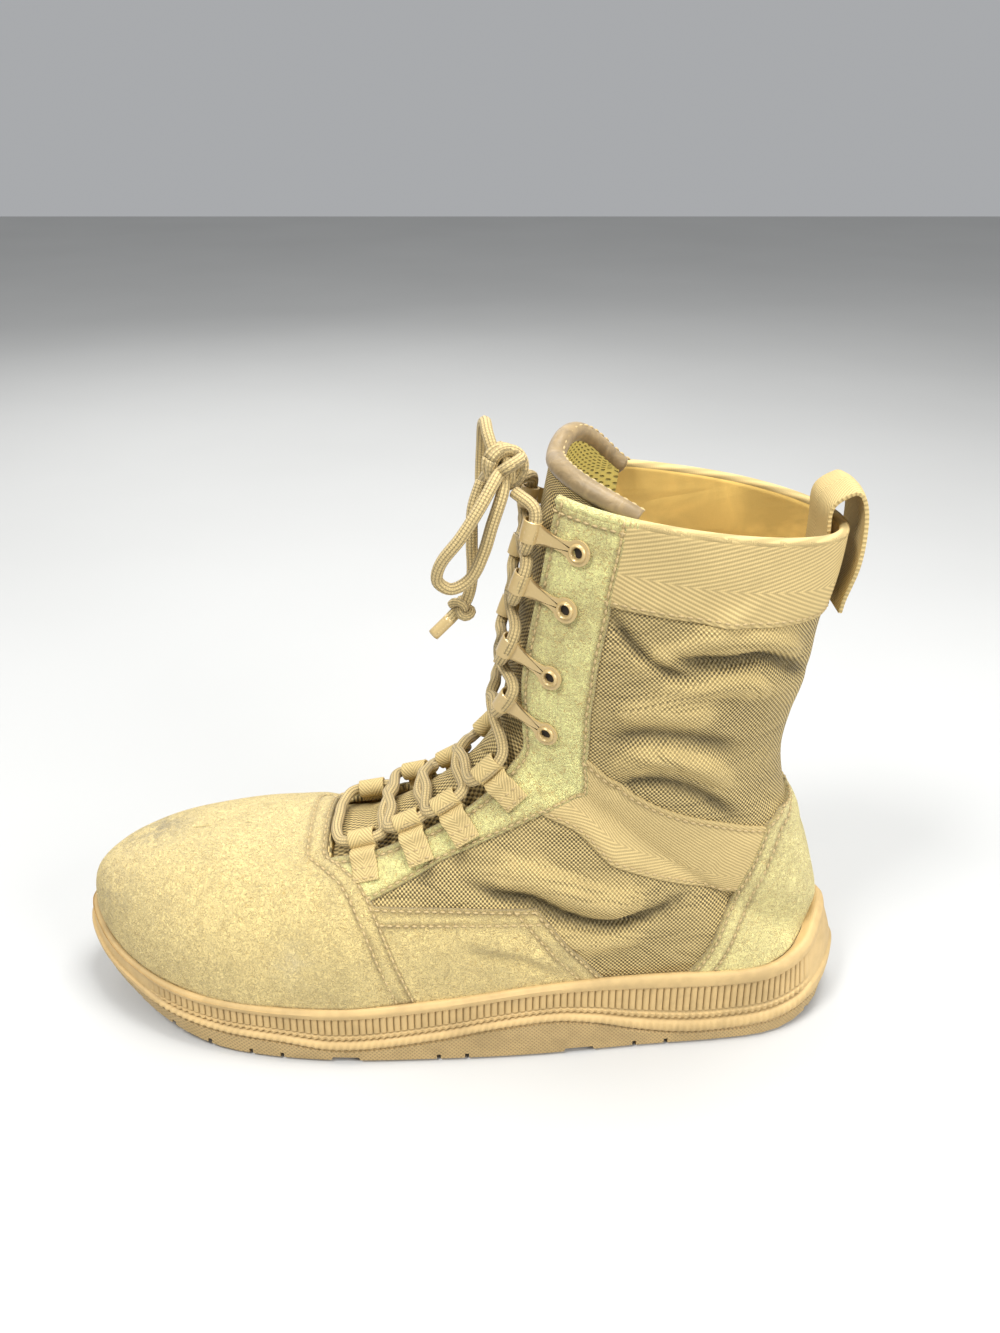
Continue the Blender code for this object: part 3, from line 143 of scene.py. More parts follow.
# Heights of the sole's edges as shares of its height at the ball
RIM = table(
    "along height",
    (0.00, 1.78), (0.01, 1.72), (0.035, 1.58), (0.065, 1.43), (0.12, 1.33), (0.23, 1.38),
    (0.39, 1.36), (0.52, 1.15), (0.645, 1.00), (0.78, 0.96), (0.845, 0.97), (0.90, 1.04),
    (0.95, 1.18), (0.985, 1.38), (1.00, 1.46),
)
PARTING = table(
    "along height",
    (0.00, 0.66), (0.03, 0.48), (0.08, 0.30), (0.15, 0.22), (0.22, 0.22), (0.28, 0.36),
    (0.33, 0.55), (0.38, 0.66), (0.45, 0.59), (0.52, 0.42), (0.60, 0.27), (0.66, 0.23),
    (0.72, 0.34), (0.80, 0.38), (0.88, 0.52), (0.93, 0.72), (0.97, 0.90), (1.00, 1.08),
)
GROUND = table(
    "along height",
    (0.00, 0.36), (0.02, 0.20), (0.05, 0.08), (0.09, 0.0), (0.45, 0.0), (0.78, 0.0),
    (0.84, 0.10), (0.90, 0.27), (0.96, 0.47), (1.00, 0.62),
)
FLOOR = table(
    "along height",
    (0.00, 1.18), (0.05, 1.17), (0.23, 1.19), (0.39, 1.17), (0.52, 0.98), (0.65, 0.83),
    (0.78, 0.80), (0.845, 0.81), (0.90, 0.87), (0.95, 0.99), (1.00, 1.10),
)
# How far the ground edge is tucked in and the rim leans in, as shares of TOE_TUCK and HEEL_LEAN
TUCK = table(
    "along share",
    (0.00, 0.50), (0.03, 0.28), (0.08, 0.09), (0.15, 0.0), (0.80, 0.0), (0.88, 0.16),
    (0.94, 0.44), (0.98, 0.83), (1.00, 1.00),
)
LEAN = table(
    "along share",
    (0.00, 1.00), (0.02, 0.84), (0.05, 0.58), (0.09, 0.34), (0.15, 0.17), (0.25, 0.12),
    (0.80, 0.12), (0.92, 0.16), (1.00, 0.28),
)

# Front line: ridge of the vamp up to 1, then up the throat to the collar at 2.
# Level 0 is the sole's height at the ball, 1 the instep, 2 the collar.
FRONT = table(
    "front along level side",
    (0.00, 0.980, 0.16, 0.050), (0.08, 0.973, 0.44, 0.050), (0.18, 0.946, 0.60, 0.047),
    (0.30, 0.905, 0.70, 0.042), (0.45, 0.850, 0.785, 0.034), (0.65, 0.780, 0.850, 0.024),
    (0.85, 0.705, 0.90, 0.014), (1.00, 0.659, 0.945, 0.006), (1.15, 0.592, 1.035, 0.0),
    (1.30, 0.529, 1.140, 0.0), (1.40, 0.487, 1.230, 0.0), (1.50, 0.464, 1.320, 0.0),
    (1.60, 0.456, 1.405, 0.0), (1.70, 0.448, 1.526, 0.0), (1.85, 0.430, 1.759, 0.0),
    (2.00, 0.411, 2.000, 0.0),
)
# Back line, from the feather line at the heel (1) to the collar (2)
BACK = table(
    "base along level",
    (1.00, 0.0450, 0.08), (1.08, 0.0430, 0.34), (1.18, 0.0550, 0.63), (1.30, 0.0790, 1.015),
    (1.38, 0.0980, 1.113), (1.50, 0.1100, 1.263), (1.60, 0.1040, 1.380), (1.70, 0.0930, 1.496),
    (1.80, 0.0880, 1.620), (1.90, 0.0780, 1.759), (2.00, 0.0735, 1.891),
)
# A row for each section of the last, from base line (toe 0, heel 1, collar 2) to front line.
# low and high are half widths at the two handles, as shares of the feather's half width,
# shaft_low and shaft_high those as shares of half the shaft, and lift is the lower handle's height.
SECTIONS = table(
    "base front low shaft_low lift high shaft_high",
    (0.000, 0.00, 1.00, 0.00, 0.50, 0.70, 0.00),
    (0.064, 0.12, 1.03, 0.00, 0.56, 0.66, 0.00),
    (0.131, 0.29, 1.04, 0.00, 0.60, 0.65, 0.00),
    (0.202, 0.48, 1.05, 0.00, 0.62, 0.64, 0.00),
    (0.280, 0.72, 1.05, 0.00, 0.62, 0.62, 0.00),
    (0.374, 1.00, 1.05, 0.00, 0.60, 0.58, 0.00),
    (0.464, 1.13, 1.02, 0.00, 0.56, 0.57, 0.00),
    (0.584, 1.26, 0.96, 0.08, 0.50, 0.54, 0.10),
    (0.706, 1.37, 0.86, 0.24, 0.44, 0.46, 0.34),
    (0.800, 1.45, 0.70, 0.46, 0.37, 0.36, 0.58),
    (0.863, 1.50, 0.56, 0.68, 0.28, 0.26, 0.78),
    (0.930, 1.55, 0.30, 0.98, 0.16, 0.12, 0.98),
    (1.000, 1.60, 0.00, 1.18, 0.04, 0.00, 1.10),
    (1.180, 1.66, 0.00, 1.26, 0.00, 0.00, 1.16),
    (1.380, 1.74, 0.00, 1.27, 0.00, 0.00, 1.22),
    (1.600, 1.83, 0.00, 1.28, 0.00, 0.00, 1.28),
    (1.800, 1.92, 0.00, 1.31, 0.00, 0.00, 1.31),
    (2.000, 2.00, 0.00, 1.33, 0.00, 0.00, 1.33),
)

# Half the throat's opening at places along the base line, as shares of its width
THROAT = table(
    "base half",
    (0.374, 0.55), (0.584, 0.565), (0.800, 0.52), (1.000, 0.48), (1.300, 0.46), (1.700, 0.49),
    (2.000, 0.50),
)

# Edges of the suede and tape, as shares of the length from the heel and levels, seen from the side
EYESTAY_EDGE = table(
    "along level",
    (0.606, 0.70), (0.521, 0.97), (0.415, 1.115), (0.362, 1.180), (0.350, 1.30), (0.345, 1.526),
    (0.332, 1.774), (0.317, 2.00),
)
COUNTER_EDGE = table(
    "along level",
    (0.217, 0.15), (0.199, 0.30), (0.168, 0.72), (0.148, 1.00), (0.137, 1.09), (0.118, 1.118),
)
# Places of the lace tabs, as shares of the length, and levels of the hooks, on the throat's edge
TABS_ALONG = (0.612, 0.552, 0.503, 0.450)
HOOK_LEVELS = (1.425, 1.585, 1.765, 1.905)

# The bow: points listed as x, y, z from the knot's middle
LATERAL_BOW = (
    (-0.0030, -0.0078, -0.0024), (-0.0085, -0.013, -0.011), (-0.0145, -0.015, -0.020),
    (-0.0210, -0.014, -0.029), (-0.0225, -0.0125, -0.036), (-0.0180, -0.0115, -0.0395),
    (-0.0115, -0.011, -0.036), (-0.0070, -0.0105, -0.027), (-0.0040, -0.0100, -0.017),
    (-0.0005, -0.0074, -0.0064),
)
MEDIAL_BOW = (
    (-0.0032, 0.0078, 0.0014), (-0.0055, 0.013, 0.0065), (-0.0065, 0.020, 0.0090),
    (-0.0075, 0.027, 0.0055), (-0.0080, 0.032, -0.003), (-0.0085, 0.033, -0.013),
    (-0.0085, 0.029, -0.0205), (-0.0085, 0.023, -0.0190), (-0.0075, 0.0165, -0.0110),
    (-0.0045, 0.0080, -0.0044),
)
LATERAL_END = (
    (-0.0076, -0.0008, -0.0050), (-0.0105, -0.0030, -0.014), (-0.0110, -0.0035, -0.026),
    (-0.0110, -0.0025, -0.038), (-0.0130, -0.0030, -0.047), (-0.0180, -0.0040, -0.053),
    (-0.0240, -0.0050, -0.059),
)
MEDIAL_END = (
    (0.0008, 0.0082, -0.0008), (0.0026, 0.0180, -0.0062), (0.0044, 0.0285, -0.0135),
    (0.0070, 0.0365, -0.0270), (0.0080, 0.0400, -0.0420), (0.0080, 0.0410, -0.0580),
    (0.0070, 0.0400, -0.0720),
)


def run_along(line):
    """How far along a line each of its points lies."""
    return np.concatenate([[0], np.cumsum(np.linalg.norm(np.diff(line, axis=0), axis=1))])


def smooth(knots, values, at):
    """A cubic through the values, with each slope taken from both neighbours."""
    steps, rises = np.diff(knots), np.diff(values)
    chords = rises / steps
    slopes = np.concatenate([chords[:1], (rises[1:] + rises[:-1]) / (steps[1:] + steps[:-1]), chords[-1:]])
    at = np.clip(np.asarray(at, float), knots[0], knots[-1])
    i = np.clip(np.searchsorted(knots, at, side="right") - 1, 0, len(steps) - 1)
    h = steps[i]
    s = (at - knots[i]) / h
    return (
        values[i] * (1 + 2 * s) * (1 - s) ** 2
        + slopes[i] * h * s * (1 - s) ** 2
        + values[i + 1] * s * s * (3 - 2 * s)
        + slopes[i + 1] * h * s * s * (s - 1)
    )


def curve(knots, points, at):
    """Points of a smooth curve through the given ones."""
    return np.stack([smooth(knots, column, at) for column in points.T], axis=-1)


def read(columns, name, at):
    """A table's column at places along its first column."""
    return smooth(columns[next(iter(columns))], columns[name], at)


def x_of(along):
    return LENGTH / 2 - LENGTH * np.asarray(along, float)


def along_of(x):
    return (LENGTH / 2 - x) / LENGTH


def z_of(level):
    return np.interp(level, (0, 1, 2), (SOLE_HEIGHT, INSTEP_HEIGHT, COLLAR_HEIGHT))


def closed_outline():
    """The sole's outline as two half-width curves over the same places along the sole."""
    points = [(0.0, HEEL_END)]
    points += list(zip(OUTLINE["along"], -OUTLINE["lateral"]))
    points += [(1.0, TOE_END)]
    points += list(zip(OUTLINE["along"][::-1], OUTLINE["medial"][::-1]))
    loop = np.array(points) * (LENGTH, BALL_WIDTH)
    loop = np.concatenate([loop[-3:], loop, loop[:4]])
    knots = run_along(loop)
    at = np.linspace(knots[3], knots[-4], 1201)
    dense = curve(knots, loop, at)
    tip = dense[:, 0].argmax()
    return dense[: tip + 1], dense[tip:][::-1]


LATERAL_LINE, MEDIAL_LINE = closed_outline()
MIDDLE = (LATERAL_LINE[:, 1].min() + MEDIAL_LINE[:, 1].max()) / 2


def stations(count):
    """Places along the sole, from heel to toe, evenly spaced along its edge."""
    mean = 0.5 * (LATERAL_LINE[::4] + np.stack([
        LATERAL_LINE[::4, 0],
        -np.interp(LATERAL_LINE[::4, 0], MEDIAL_LINE[:, 0], MEDIAL_LINE[:, 1]),
    ], axis=1))
    run = run_along(mean)
    return np.interp(np.linspace(0, run[-1], count + 1), run, mean[:, 0]) / LENGTH


def edge_loop(alongs):
    """Points and outward directions round the sole: heel, outer side, toe, inner side."""
    outer = np.interp(alongs * LENGTH, LATERAL_LINE[:, 0], LATERAL_LINE[:, 1])
    inner = np.interp(alongs * LENGTH, MEDIAL_LINE[:, 0], MEDIAL_LINE[:, 1])
    there = np.concatenate([alongs, alongs[-2:0:-1]])
    side = np.concatenate([outer, inner[-2:0:-1]]) - MIDDLE
    points = np.stack([x_of(there), side], axis=1)
    ahead = np.roll(points, -1, axis=0) - np.roll(points, 1, axis=0)
    out = np.stack([-ahead[:, 1], ahead[:, 0]], axis=1)
    return there, points, out / np.linalg.norm(out, axis=1)[:, None]


class SoleEdge:
    """The sole's side wall: heights and inward offsets round its edge."""

    def __init__(self, count):
        self.alongs = stations(count)
        self.there, self.points, self.out = edge_loop(self.alongs)
        self.ground = SOLE_HEIGHT * np.maximum(read(GROUND, "height", self.there), 0)
        self.parting = SOLE_HEIGHT * read(PARTING, "height", self.there)
        self.rim = SOLE_HEIGHT * read(RIM, "height", self.there)
        self.floor = SOLE_HEIGHT * read(FLOOR, "height", self.there)

    def inset(self, height):
        """How far the side wall is inside the widest outline at a height."""
        share = np.clip((height - self.ground) / (self.rim - self.ground), 0, 1)
        tuck = TOE_TUCK * read(TUCK, "share", self.there) * np.clip(1 - share / 0.5, 0, 1) ** 1.6
        return tuck + HEEL_LEAN * read(LEAN, "share", self.there) * share**1.6

    def ring(self, height, inward=0.0):
        """A loop of points at a height, inward from the side wall."""
        flat = self.points - self.out * (self.inset(height) + inward)[:, None]
        return np.column_stack([flat, np.broadcast_to(height, len(flat))])

    def rim_ring(self, height, inward):
        """A loop of points at a height, inward from the rim."""
        flat = self.points - self.out * (self.inset(self.rim) + inward)[:, None]
        return np.column_stack([flat, np.broadcast_to(height, len(flat))])


class Last:
    """One side of the last: a surface from the base line (across 0) to the front line (across 1)."""

    def __init__(self, side):
        self.side = side
        self.line = LATERAL_LINE if side == LATERAL else MEDIAL_LINE
        self.alongs = stations(240)[::-1]
        self.share = np.linspace(0, 1, len(self.alongs))
        grid_t = np.linspace(0, 2, 201)
        grid_v = np.linspace(0, 1, 81)
        self.net = np.array(np.meshgrid(grid_t, grid_v, indexing="ij"))
        self.net_points = self.at(self.net[0], self.net[1])

    def feather(self, base):
        """The feather line, just inside the rim and just above the cup's floor."""
        alongs = np.interp(base, self.share, self.alongs)
        fine = self.alongs
        across = np.interp(fine * LENGTH, self.line[:, 0], self.line[:, 1]) - MIDDLE
        line = np.stack([x_of(fine), across], axis=1)
        ahead = np.gradient(line, axis=0)
        out = np.stack([-ahead[:, 1], ahead[:, 0]], axis=1) * self.side
        out /= np.linalg.norm(out, axis=1)[:, None]
        out[0], out[-1] = (-1, 0), (1, 0)
        inset = HEEL_LEAN * read(LEAN, "share", fine) + RIM_WALL + 3 * GAP
        line = line - out * inset[:, None]
        x = np.interp(base, self.share, line[:, 0])
        y = np.interp(base, self.share, line[:, 1])
        return np.stack([x, y, SOLE_HEIGHT * read(FLOOR, "height", alongs) + 3 * GAP], axis=-1)

    def front(self, front):
        side = BALL_WIDTH * read(FRONT, "side", front) - MIDDLE
        return np.stack([x_of(read(FRONT, "along", front)), side, z_of(read(FRONT, "level", front))], axis=-1)

    def base(self, base):
        low = self.feather(np.minimum(base, 1))
        along, level = read(BACK, "along", base), read(BACK, "level", base)
        back = np.stack([x_of(along), np.full_like(along, -MIDDLE), z_of(level)], axis=-1)
        blend = np.clip((base - 1) / 0.05, 0, 1)[..., None]
        return np.where(base[..., None] <= 1, low, low * (1 - blend) + back * blend)

    def handles(self, base):
        """The four control points of the section at each place along the base line."""
        start, end = self.base(base), self.front(read(SECTIONS, "front", base))
        half = start[..., 1] - end[..., 1]
        lift = read(SECTIONS, "lift", base)[..., None]
        low = start + lift * (end - start)
        high = end.copy()
        for handle, name in ((low, "low"), (high, "high")):
            shaft = self.side * SHAFT_WIDTH / 2 * read(SECTIONS, "shaft_" + name, base)
            handle[..., 1] = end[..., 1] + half * read(SECTIONS, name, base) + shaft
        return start, low, high, end

    def at(self, base, across):
        """Points of the surface."""
        base, across = np.broadcast_arrays(np.asarray(base, float), np.asarray(across, float))
        v = across[..., None]
        a, b, c, d = self.handles(base)
        return a * (1 - v) ** 3 + 3 * b * v * (1 - v) ** 2 + 3 * c * v * v * (1 - v) + d * v**3

    def normal(self, base, across):
        """Outward directions, read over a longer stretch where the base line turns up the heel."""
        base, across = np.broadcast_arrays(np.asarray(base, float), np.asarray(across, float))
        step = 2e-3
        wide = step + 0.04 * np.exp(-(((base - 1) / 0.03) ** 2))
        b0, b1 = np.clip(base - wide, 0, 2), np.clip(base + wide, 0, 2)
        v0, v1 = np.clip(across - step, 0, 1), np.clip(across + step, 0, 1)
        along = self.at(b1, across) - self.at(b0, across)
        up = self.at(base, v1) - self.at(base, v0)
        n = np.cross(along, up) * -self.side
        return n / np.maximum(np.linalg.norm(n, axis=-1, keepdims=True), 1e-12)

    def raised(self, base, across, height):
        return self.at(base, across) + height * self.normal(base, across)

    def find(self, along, level):
        """The base and across values of a place given from the side, by length and level."""
        x, z = x_of(along), z_of(level)
        found = []
        for px, pz in zip(np.atleast_1d(x), np.atleast_1d(z)):
            off = np.hypot(self.net_points[..., 0] - px, self.net_points[..., 2] - pz)
            i, j = np.unravel_index(off.argmin(), off.shape)
            place = np.array([self.net[0][i, j], self.net[1][i, j]])
            for _ in range(6):
                here = self.at(*place)[[0, 2]]
                nudges = ((NUDGE, 0), (0, NUDGE))
                moved = [(self.at(*(place + nudge))[[0, 2]] - here) / NUDGE for nudge in nudges]
                slope = np.stack(moved, axis=1)
                move = np.linalg.lstsq(slope, np.array([px, pz]) - here, rcond=None)[0]
                place = np.clip(place + np.clip(move, -0.05, 0.05), (0, 0), (2, 1))
            found.append(place)
        return np.array(found)

    def across_at_side(self, base, half):
        """Where the section at base comes in to a half width beside the front line."""
        v = np.linspace(0.45, 1, 301)
        points = self.at(base, v)
        side = np.abs(points[:, 1] - points[-1, 1])
        return float(np.interp(-half, -side, v))

    def rim_across(self, base):
        """Where the section comes out of the sole's cup."""
        v = np.linspace(0, 1, 401)
        points = self.at(base, v)
        along = along_of(points[:, 0])
        near = [read(RIM, "height", np.clip(along + step, 0, 1)) for step in (-0.025, 0, 0.025)]
        out = points[:, 2] >= SOLE_HEIGHT * np.max(near, axis=0) + RIM_CLEARANCE
        return float(v[np.argmax(out)]) if out.any() else 1.0

    def throat(self, base):
        return self.across_at_side(base, THROAT_WIDTH * float(read(THROAT, "half", base)))


lasts = {name: Last(side) for name, side in SIDES.items()}
THROAT_BASE = float(np.interp(1.0, SECTIONS["front"], SECTIONS["base"]))


def edge_in_base(last, columns):
    """An edge given from the side, as across values over base values."""
    found = last.find(columns["along"], columns["level"])
    order = found[:, 0].argsort()
    return found[order, 0], found[order, 1]


def patch(last, lower, upper, rows, columns):
    """Base and across values of a four-sided piece between two edges given from the side."""

    def along_edge(edge, at):
        line = np.stack([edge["along"], edge["level"]], axis=1)
        run = run_along(line)
        return curve(run / run[-1], line, at)

    share = np.linspace(0, 1, columns + 1)
    low, high = along_edge(lower, share), along_edge(upper, share)
    places = [low + (high - low) * step for step in np.linspace(0, 1, rows + 1)]
    return [last.find(place[:, 0], place[:, 1]) for place in places]


def resampled(points, step):
    """Points read at even steps from a smooth curve through the given ones."""
    points = np.array(points, float)
    knots = run_along(points)
    at = np.linspace(0, knots[-1], max(2, round(knots[-1] / step) + 1))
    return curve(knots, points, at)


def holder_bases(last):
    """Where along the base line the tabs and then the hooks stand on the throat's edge."""
    bases = np.linspace(THROAT_BASE, 2, 160)
    edge = np.array([last.at(base, last.throat(base)) for base in bases])
    tabs = np.interp(x_of(TABS_ALONG), edge[:, 0], bases)
    hooks = np.interp(z_of(HOOK_LEVELS), edge[:, 2], bases)
    return tabs, hooks


def edge_frame(last, base):
    """A frame at the throat's edge, level with the surface beside it: forward, along and outward."""
    half = THROAT_WIDTH * float(read(THROAT, "half", base))
    edge = last.at(base, last.throat(base))
    beside = last.across_at_side(base, half + GROMMET_SETBACK / 2)
    middle, out = last.at(base, beside), last.normal(base, beside)
    forward = edge - middle
    forward -= out * forward.dot(out)
    reach = np.linalg.norm(forward)
    forward /= reach
    along = np.cross(out, forward)
    frame = Matrix((forward, along, out)).transposed().to_4x4()
    frame.translation = middle + forward * reach
    return frame


CHANNEL_RADIUS = LACE / 2 + CHANNEL_CLEARANCE
CHANNEL_FORWARD = CHANNEL_RADIUS + HOOK_SHEET + 0.0017
CHANNEL_OUT = 0.0016


def holders():
    """Each place that holds the lace, lowest first: its middle, direction, half length and base."""
    found = {}
    for name, last in lasts.items():
        tabs, hooks = holder_bases(last)
        kinds = [(base, TAB_FORWARD, TAB_WIDTH / 2) for base in tabs]
        kinds += [(base, CHANNEL_FORWARD, HOOK_LENGTH / 2) for base in hooks]
        places = []
        for base, forward, half in kinds:
            frame = edge_frame(last, base)
            middle = frame @ Vector((forward, 0, CHANNEL_OUT))
            along = np.array(frame.col[1][:3])
            places.append((np.array(middle), along * np.sign(along[2]), half, base))
        found[name] = places
    return found


def over_tongue(base, share):
    """A point of the lace's middle over the tongue: share -1 is the throat's outer edge, 1 its inner."""
    last = lasts["lateral" if share < 0 else "medial"]
    half = abs(share) * THROAT_WIDTH * float(read(THROAT, "half", base))
    return last.raised(base, last.across_at_side(base, max(half, 0.0004)), LACE_OVER)


def knot_middle():
    """The bow's knot, in front of the tongue just above the top hooks."""
    return lasts["lateral"].front(2.0) + KNOT_OFFSET


def run_route(start, places, knot):
    """One half of the lace: from the middle of the lowest bar, from side to side and up to the knot."""
    side = SIDES[start]
    names = {LATERAL: "lateral", MEDIAL: "medial"}
    lowest = places[start][0][3] - 0.055
    points = [over_tongue(lowest, 0.0), over_tongue(lowest, side * 0.45)]
    for i, _ in enumerate(places[start]):
        centre, along, half, base = places[names[side]][i]
        reach = half + 0.0029
        points += [centre - along * reach, centre + along * reach]
        if i + 1 < len(places[start]):
            rise = places[names[-side]][i + 1][3] - base
            for share in CROSSING_SHARES:
                points.append(over_tongue(base + rise * (0.5 - 0.28 * share), side * share))
        side = -side
    points.append(knot + (0.0032, -side * 0.0056, -0.0070))
    return points


# Thicknesses as they look once sewn down, in metres
SUEDE_SHOWS = 0.0014
OVER_SUEDE = 0.0017
TAPE_SHOWS = 0.0011
ROLLED_EDGE = 0.0011
STITCH_GROOVE = 0.0004
SUEDE_WALL = 0.0012
OVER_SUEDE_WALL = 0.0014
TAPE_WALL = 0.0010
RIM_ROLL = 0.00178
BINDING_ROLL = 0.0034
TONGUE_ROW = 0.0018
COUNTER_TUCK = 0.0018
PLATE_RADIUS = 0.0045
STITCH_REACH = 0.0006
FOLD_STRENGTH = 1.6
SPIN_STEPS = 28

# The overlays' edges run on a little under the piece that covers their ends
TAPE_UPPER_SHOWN = table(
    "along level",
    (0.352, 1.318), (0.331, 1.278), (0.271, 1.19), (0.191, 1.128), (0.132, 1.085),
)
TAPE_LOWER_SHOWN = table(
    "along level",
    (0.405, 1.140), (0.361, 1.095), (0.323, 1.01), (0.236, 0.83), (0.150, 0.69),
)
SIDE_SUEDE_FOOT_SHOWN = (0.575, 0.318)
SIDE_SUEDE_TOP_SHOWN = table("along level", (0.622, 0.680), (0.500, 0.71), (0.405, 0.70))

# Creases of the outer side, as width and height in millimetres and x, z places in millimetres
LATERAL_FOLDS = (
    (3.2, -2.6, ((126, 152), (107, 166), (93, 166), (80, 167), (73, 170))),
    (5.0, 1.8, ((120, 162), (104, 174), (90, 175), (78, 176))),
    (4.5, 1.6, ((112, 152), (96, 157), (82, 157), (70, 158))),
    (2.6, -1.7, ((51, 186), (58, 175), (65, 168), (76, 161.5), (88, 161.5))),
    (4.0, 1.5, ((60, 164), (68, 168), (79, 173), (90, 181), (100, 187))),
    (2.8, -3.0, ((2, 75), (16, 70), (28, 68), (41, 61), (57, 57), (72, 61), (86, 68))),
    (6.0, 2.6, ((14, 80), (28, 77), (42, 71), (56, 67), (70, 71))),
    (4.5, 1.2, ((30, 56), (50, 50), (72, 52))),
    (4.5, 2.2, ((57, 121), (68, 129), (86, 125), (99, 114))),
    (3.0, -1.7, ((54, 112), (68, 118), (84, 114), (100, 103), (102, 99))),
    (4.0, -1.3, ((50, 131), (65, 138), (86, 135), (104, 127))),
    (5.0, 1.2, ((54, 144), (70, 147), (92, 145))),
    (2.2, -1.0, ((0, 50), (12, 47), (24, 44), (38, 37))),
    (3.4, 0.9, ((4, 54), (22, 50), (38, 43))),
    (3.0, -0.8, ((26, 117), (33, 111), (40, 106))),
    (4.5, -0.9, ((-20, 87), (-14, 79), (-11, 72))),
    (4.5, -0.9, ((-3, 92), (0, 84), (2, 78))),
    (5.0, -0.7, ((-53, 79), (-52, 70), (-46, 58))),
)
MEDIAL_FOLDS = (
    (3.6, -2.2, ((124, 150), (106, 160), (90, 163), (74, 160))),
    (5.0, 1.6, ((118, 162), (100, 171), (84, 172))),
    (3.0, -2.4, ((4, 73), (20, 68), (38, 62), (56, 60), (74, 65))),
    (6.0, 2.2, ((16, 80), (34, 75), (54, 71), (70, 76))),
    (4.5, 1.9, ((56, 122), (70, 130), (88, 124), (100, 113))),
    (3.4, -1.5, ((54, 133), (70, 140), (90, 136))),
    (3.0, -1.3, ((56, 184), (66, 172), (82, 168))),
    (2.4, -0.8, ((2, 50), (16, 46), (34, 38))),
    (4.5, -0.8, ((-20, 86), (-14, 78), (-11, 71))),
    (5.0, -0.7, ((-53, 79), (-52, 70), (-46, 58))),
)
FOLDS = {LATERAL: LATERAL_FOLDS, MEDIAL: MEDIAL_FOLDS}

# The vamp's back edge, as across and base places: it slants back from the throat to the sole
VAMP_BACK = (
    (0.0, 0.466), (0.16, 0.461), (0.42, 0.448), (0.58, 0.428), (0.68, 0.398), (0.76, 0.373),
    (0.86, 0.371), (1.0, 0.371),
)

# The counter's front edge with points close enough to stay straight from the side
COUNTER_KNOTS = np.linspace(0, len(COUNTER_EDGE["along"]) - 1, 22)
COUNTER_FRONT = {
    name: np.interp(COUNTER_KNOTS, np.arange(len(values)), values) for name, values in COUNTER_EDGE.items()
}

SEAMS = []


def srgb(red, green, blue):
    """A colour from its screen values, 0 to 255, as the linear values that shaders use."""
    return tuple((((c / 255) + 0.055) / 1.055) ** 2.4 for c in (red, green, blue))


class BootSizes(bpy.types.PropertyGroup):
    stitch: bpy.props.FloatProperty(
        name="Stitch", description="Length of one stitch on the surface", default=0.0024, unit="LENGTH"
    )
    stitch_pitch: bpy.props.FloatProperty(
        name="Stitch pitch", description="Distance from one stitch to the next", default=0.0031, unit="LENGTH"
    )
    thread: bpy.props.FloatProperty(
        name="Thread", description="Thickness of the sewing thread", default=0.0010, unit="LENGTH"
    )
    folds: bpy.props.FloatProperty(
        name="Folds", description="Strength of the creases, 1 as worn",
        default=1.0, min=0.0, max=1.5, subtype="FACTOR"
    )
    cloth_step: bpy.props.FloatProperty(
        name="Cloth step", description="Spacing of the rows that cloth is modelled with",
        default=0.0016, unit="LENGTH"
    )
    rib_pitch: bpy.props.FloatProperty(
        name="Rib pitch", description="Distance between the ribs of the midsole",
        default=0.0027, unit="LENGTH"
    )


class BootColours(bpy.types.PropertyGroup):
    suede: bpy.props.FloatVectorProperty(
        name="Suede", description="Napped suede", default=srgb(232, 208, 138), subtype="COLOR"
    )
    nylon: bpy.props.FloatVectorProperty(
        name="Nylon", description="Raised yarns of the woven nylon",
        default=srgb(222, 195, 130), subtype="COLOR"
    )
    tape: bpy.props.FloatVectorProperty(
        name="Tape", description="Herringbone tape", default=srgb(204, 180, 124), subtype="COLOR"
    )
    lining: bpy.props.FloatVectorProperty(
        name="Lining", description="Microsuede inside the collar",
        default=srgb(222, 186, 104), subtype="COLOR"
    )
    binding: bpy.props.FloatVectorProperty(
        name="Binding", description="Satin binding of the tongue", default=srgb(142, 120, 82), subtype="COLOR"
    )
    mesh: bpy.props.FloatVectorProperty(
        name="Spacer mesh", description="Open mesh inside the tongue",
        default=srgb(200, 182, 96), subtype="COLOR"
    )
    rubber: bpy.props.FloatVectorProperty(
        name="Rubber", description="Moulded rubber of the sole", default=srgb(202, 172, 118), subtype="COLOR"
    )
    lace: bpy.props.FloatVectorProperty(
        name="Lace", description="Braided lace", default=srgb(202, 178, 124), subtype="COLOR"
    )
    metal: bpy.props.FloatVectorProperty(
        name="Hooks", description="Painted steel of the lace hooks",
        default=srgb(198, 172, 118), subtype="COLOR"
    )


def with_alpha(colour):
    """A colour as a shader's input takes it, or the socket that gives one."""
    return colour if isinstance(colour, bpy.types.NodeSocket) else (*colour, 1)


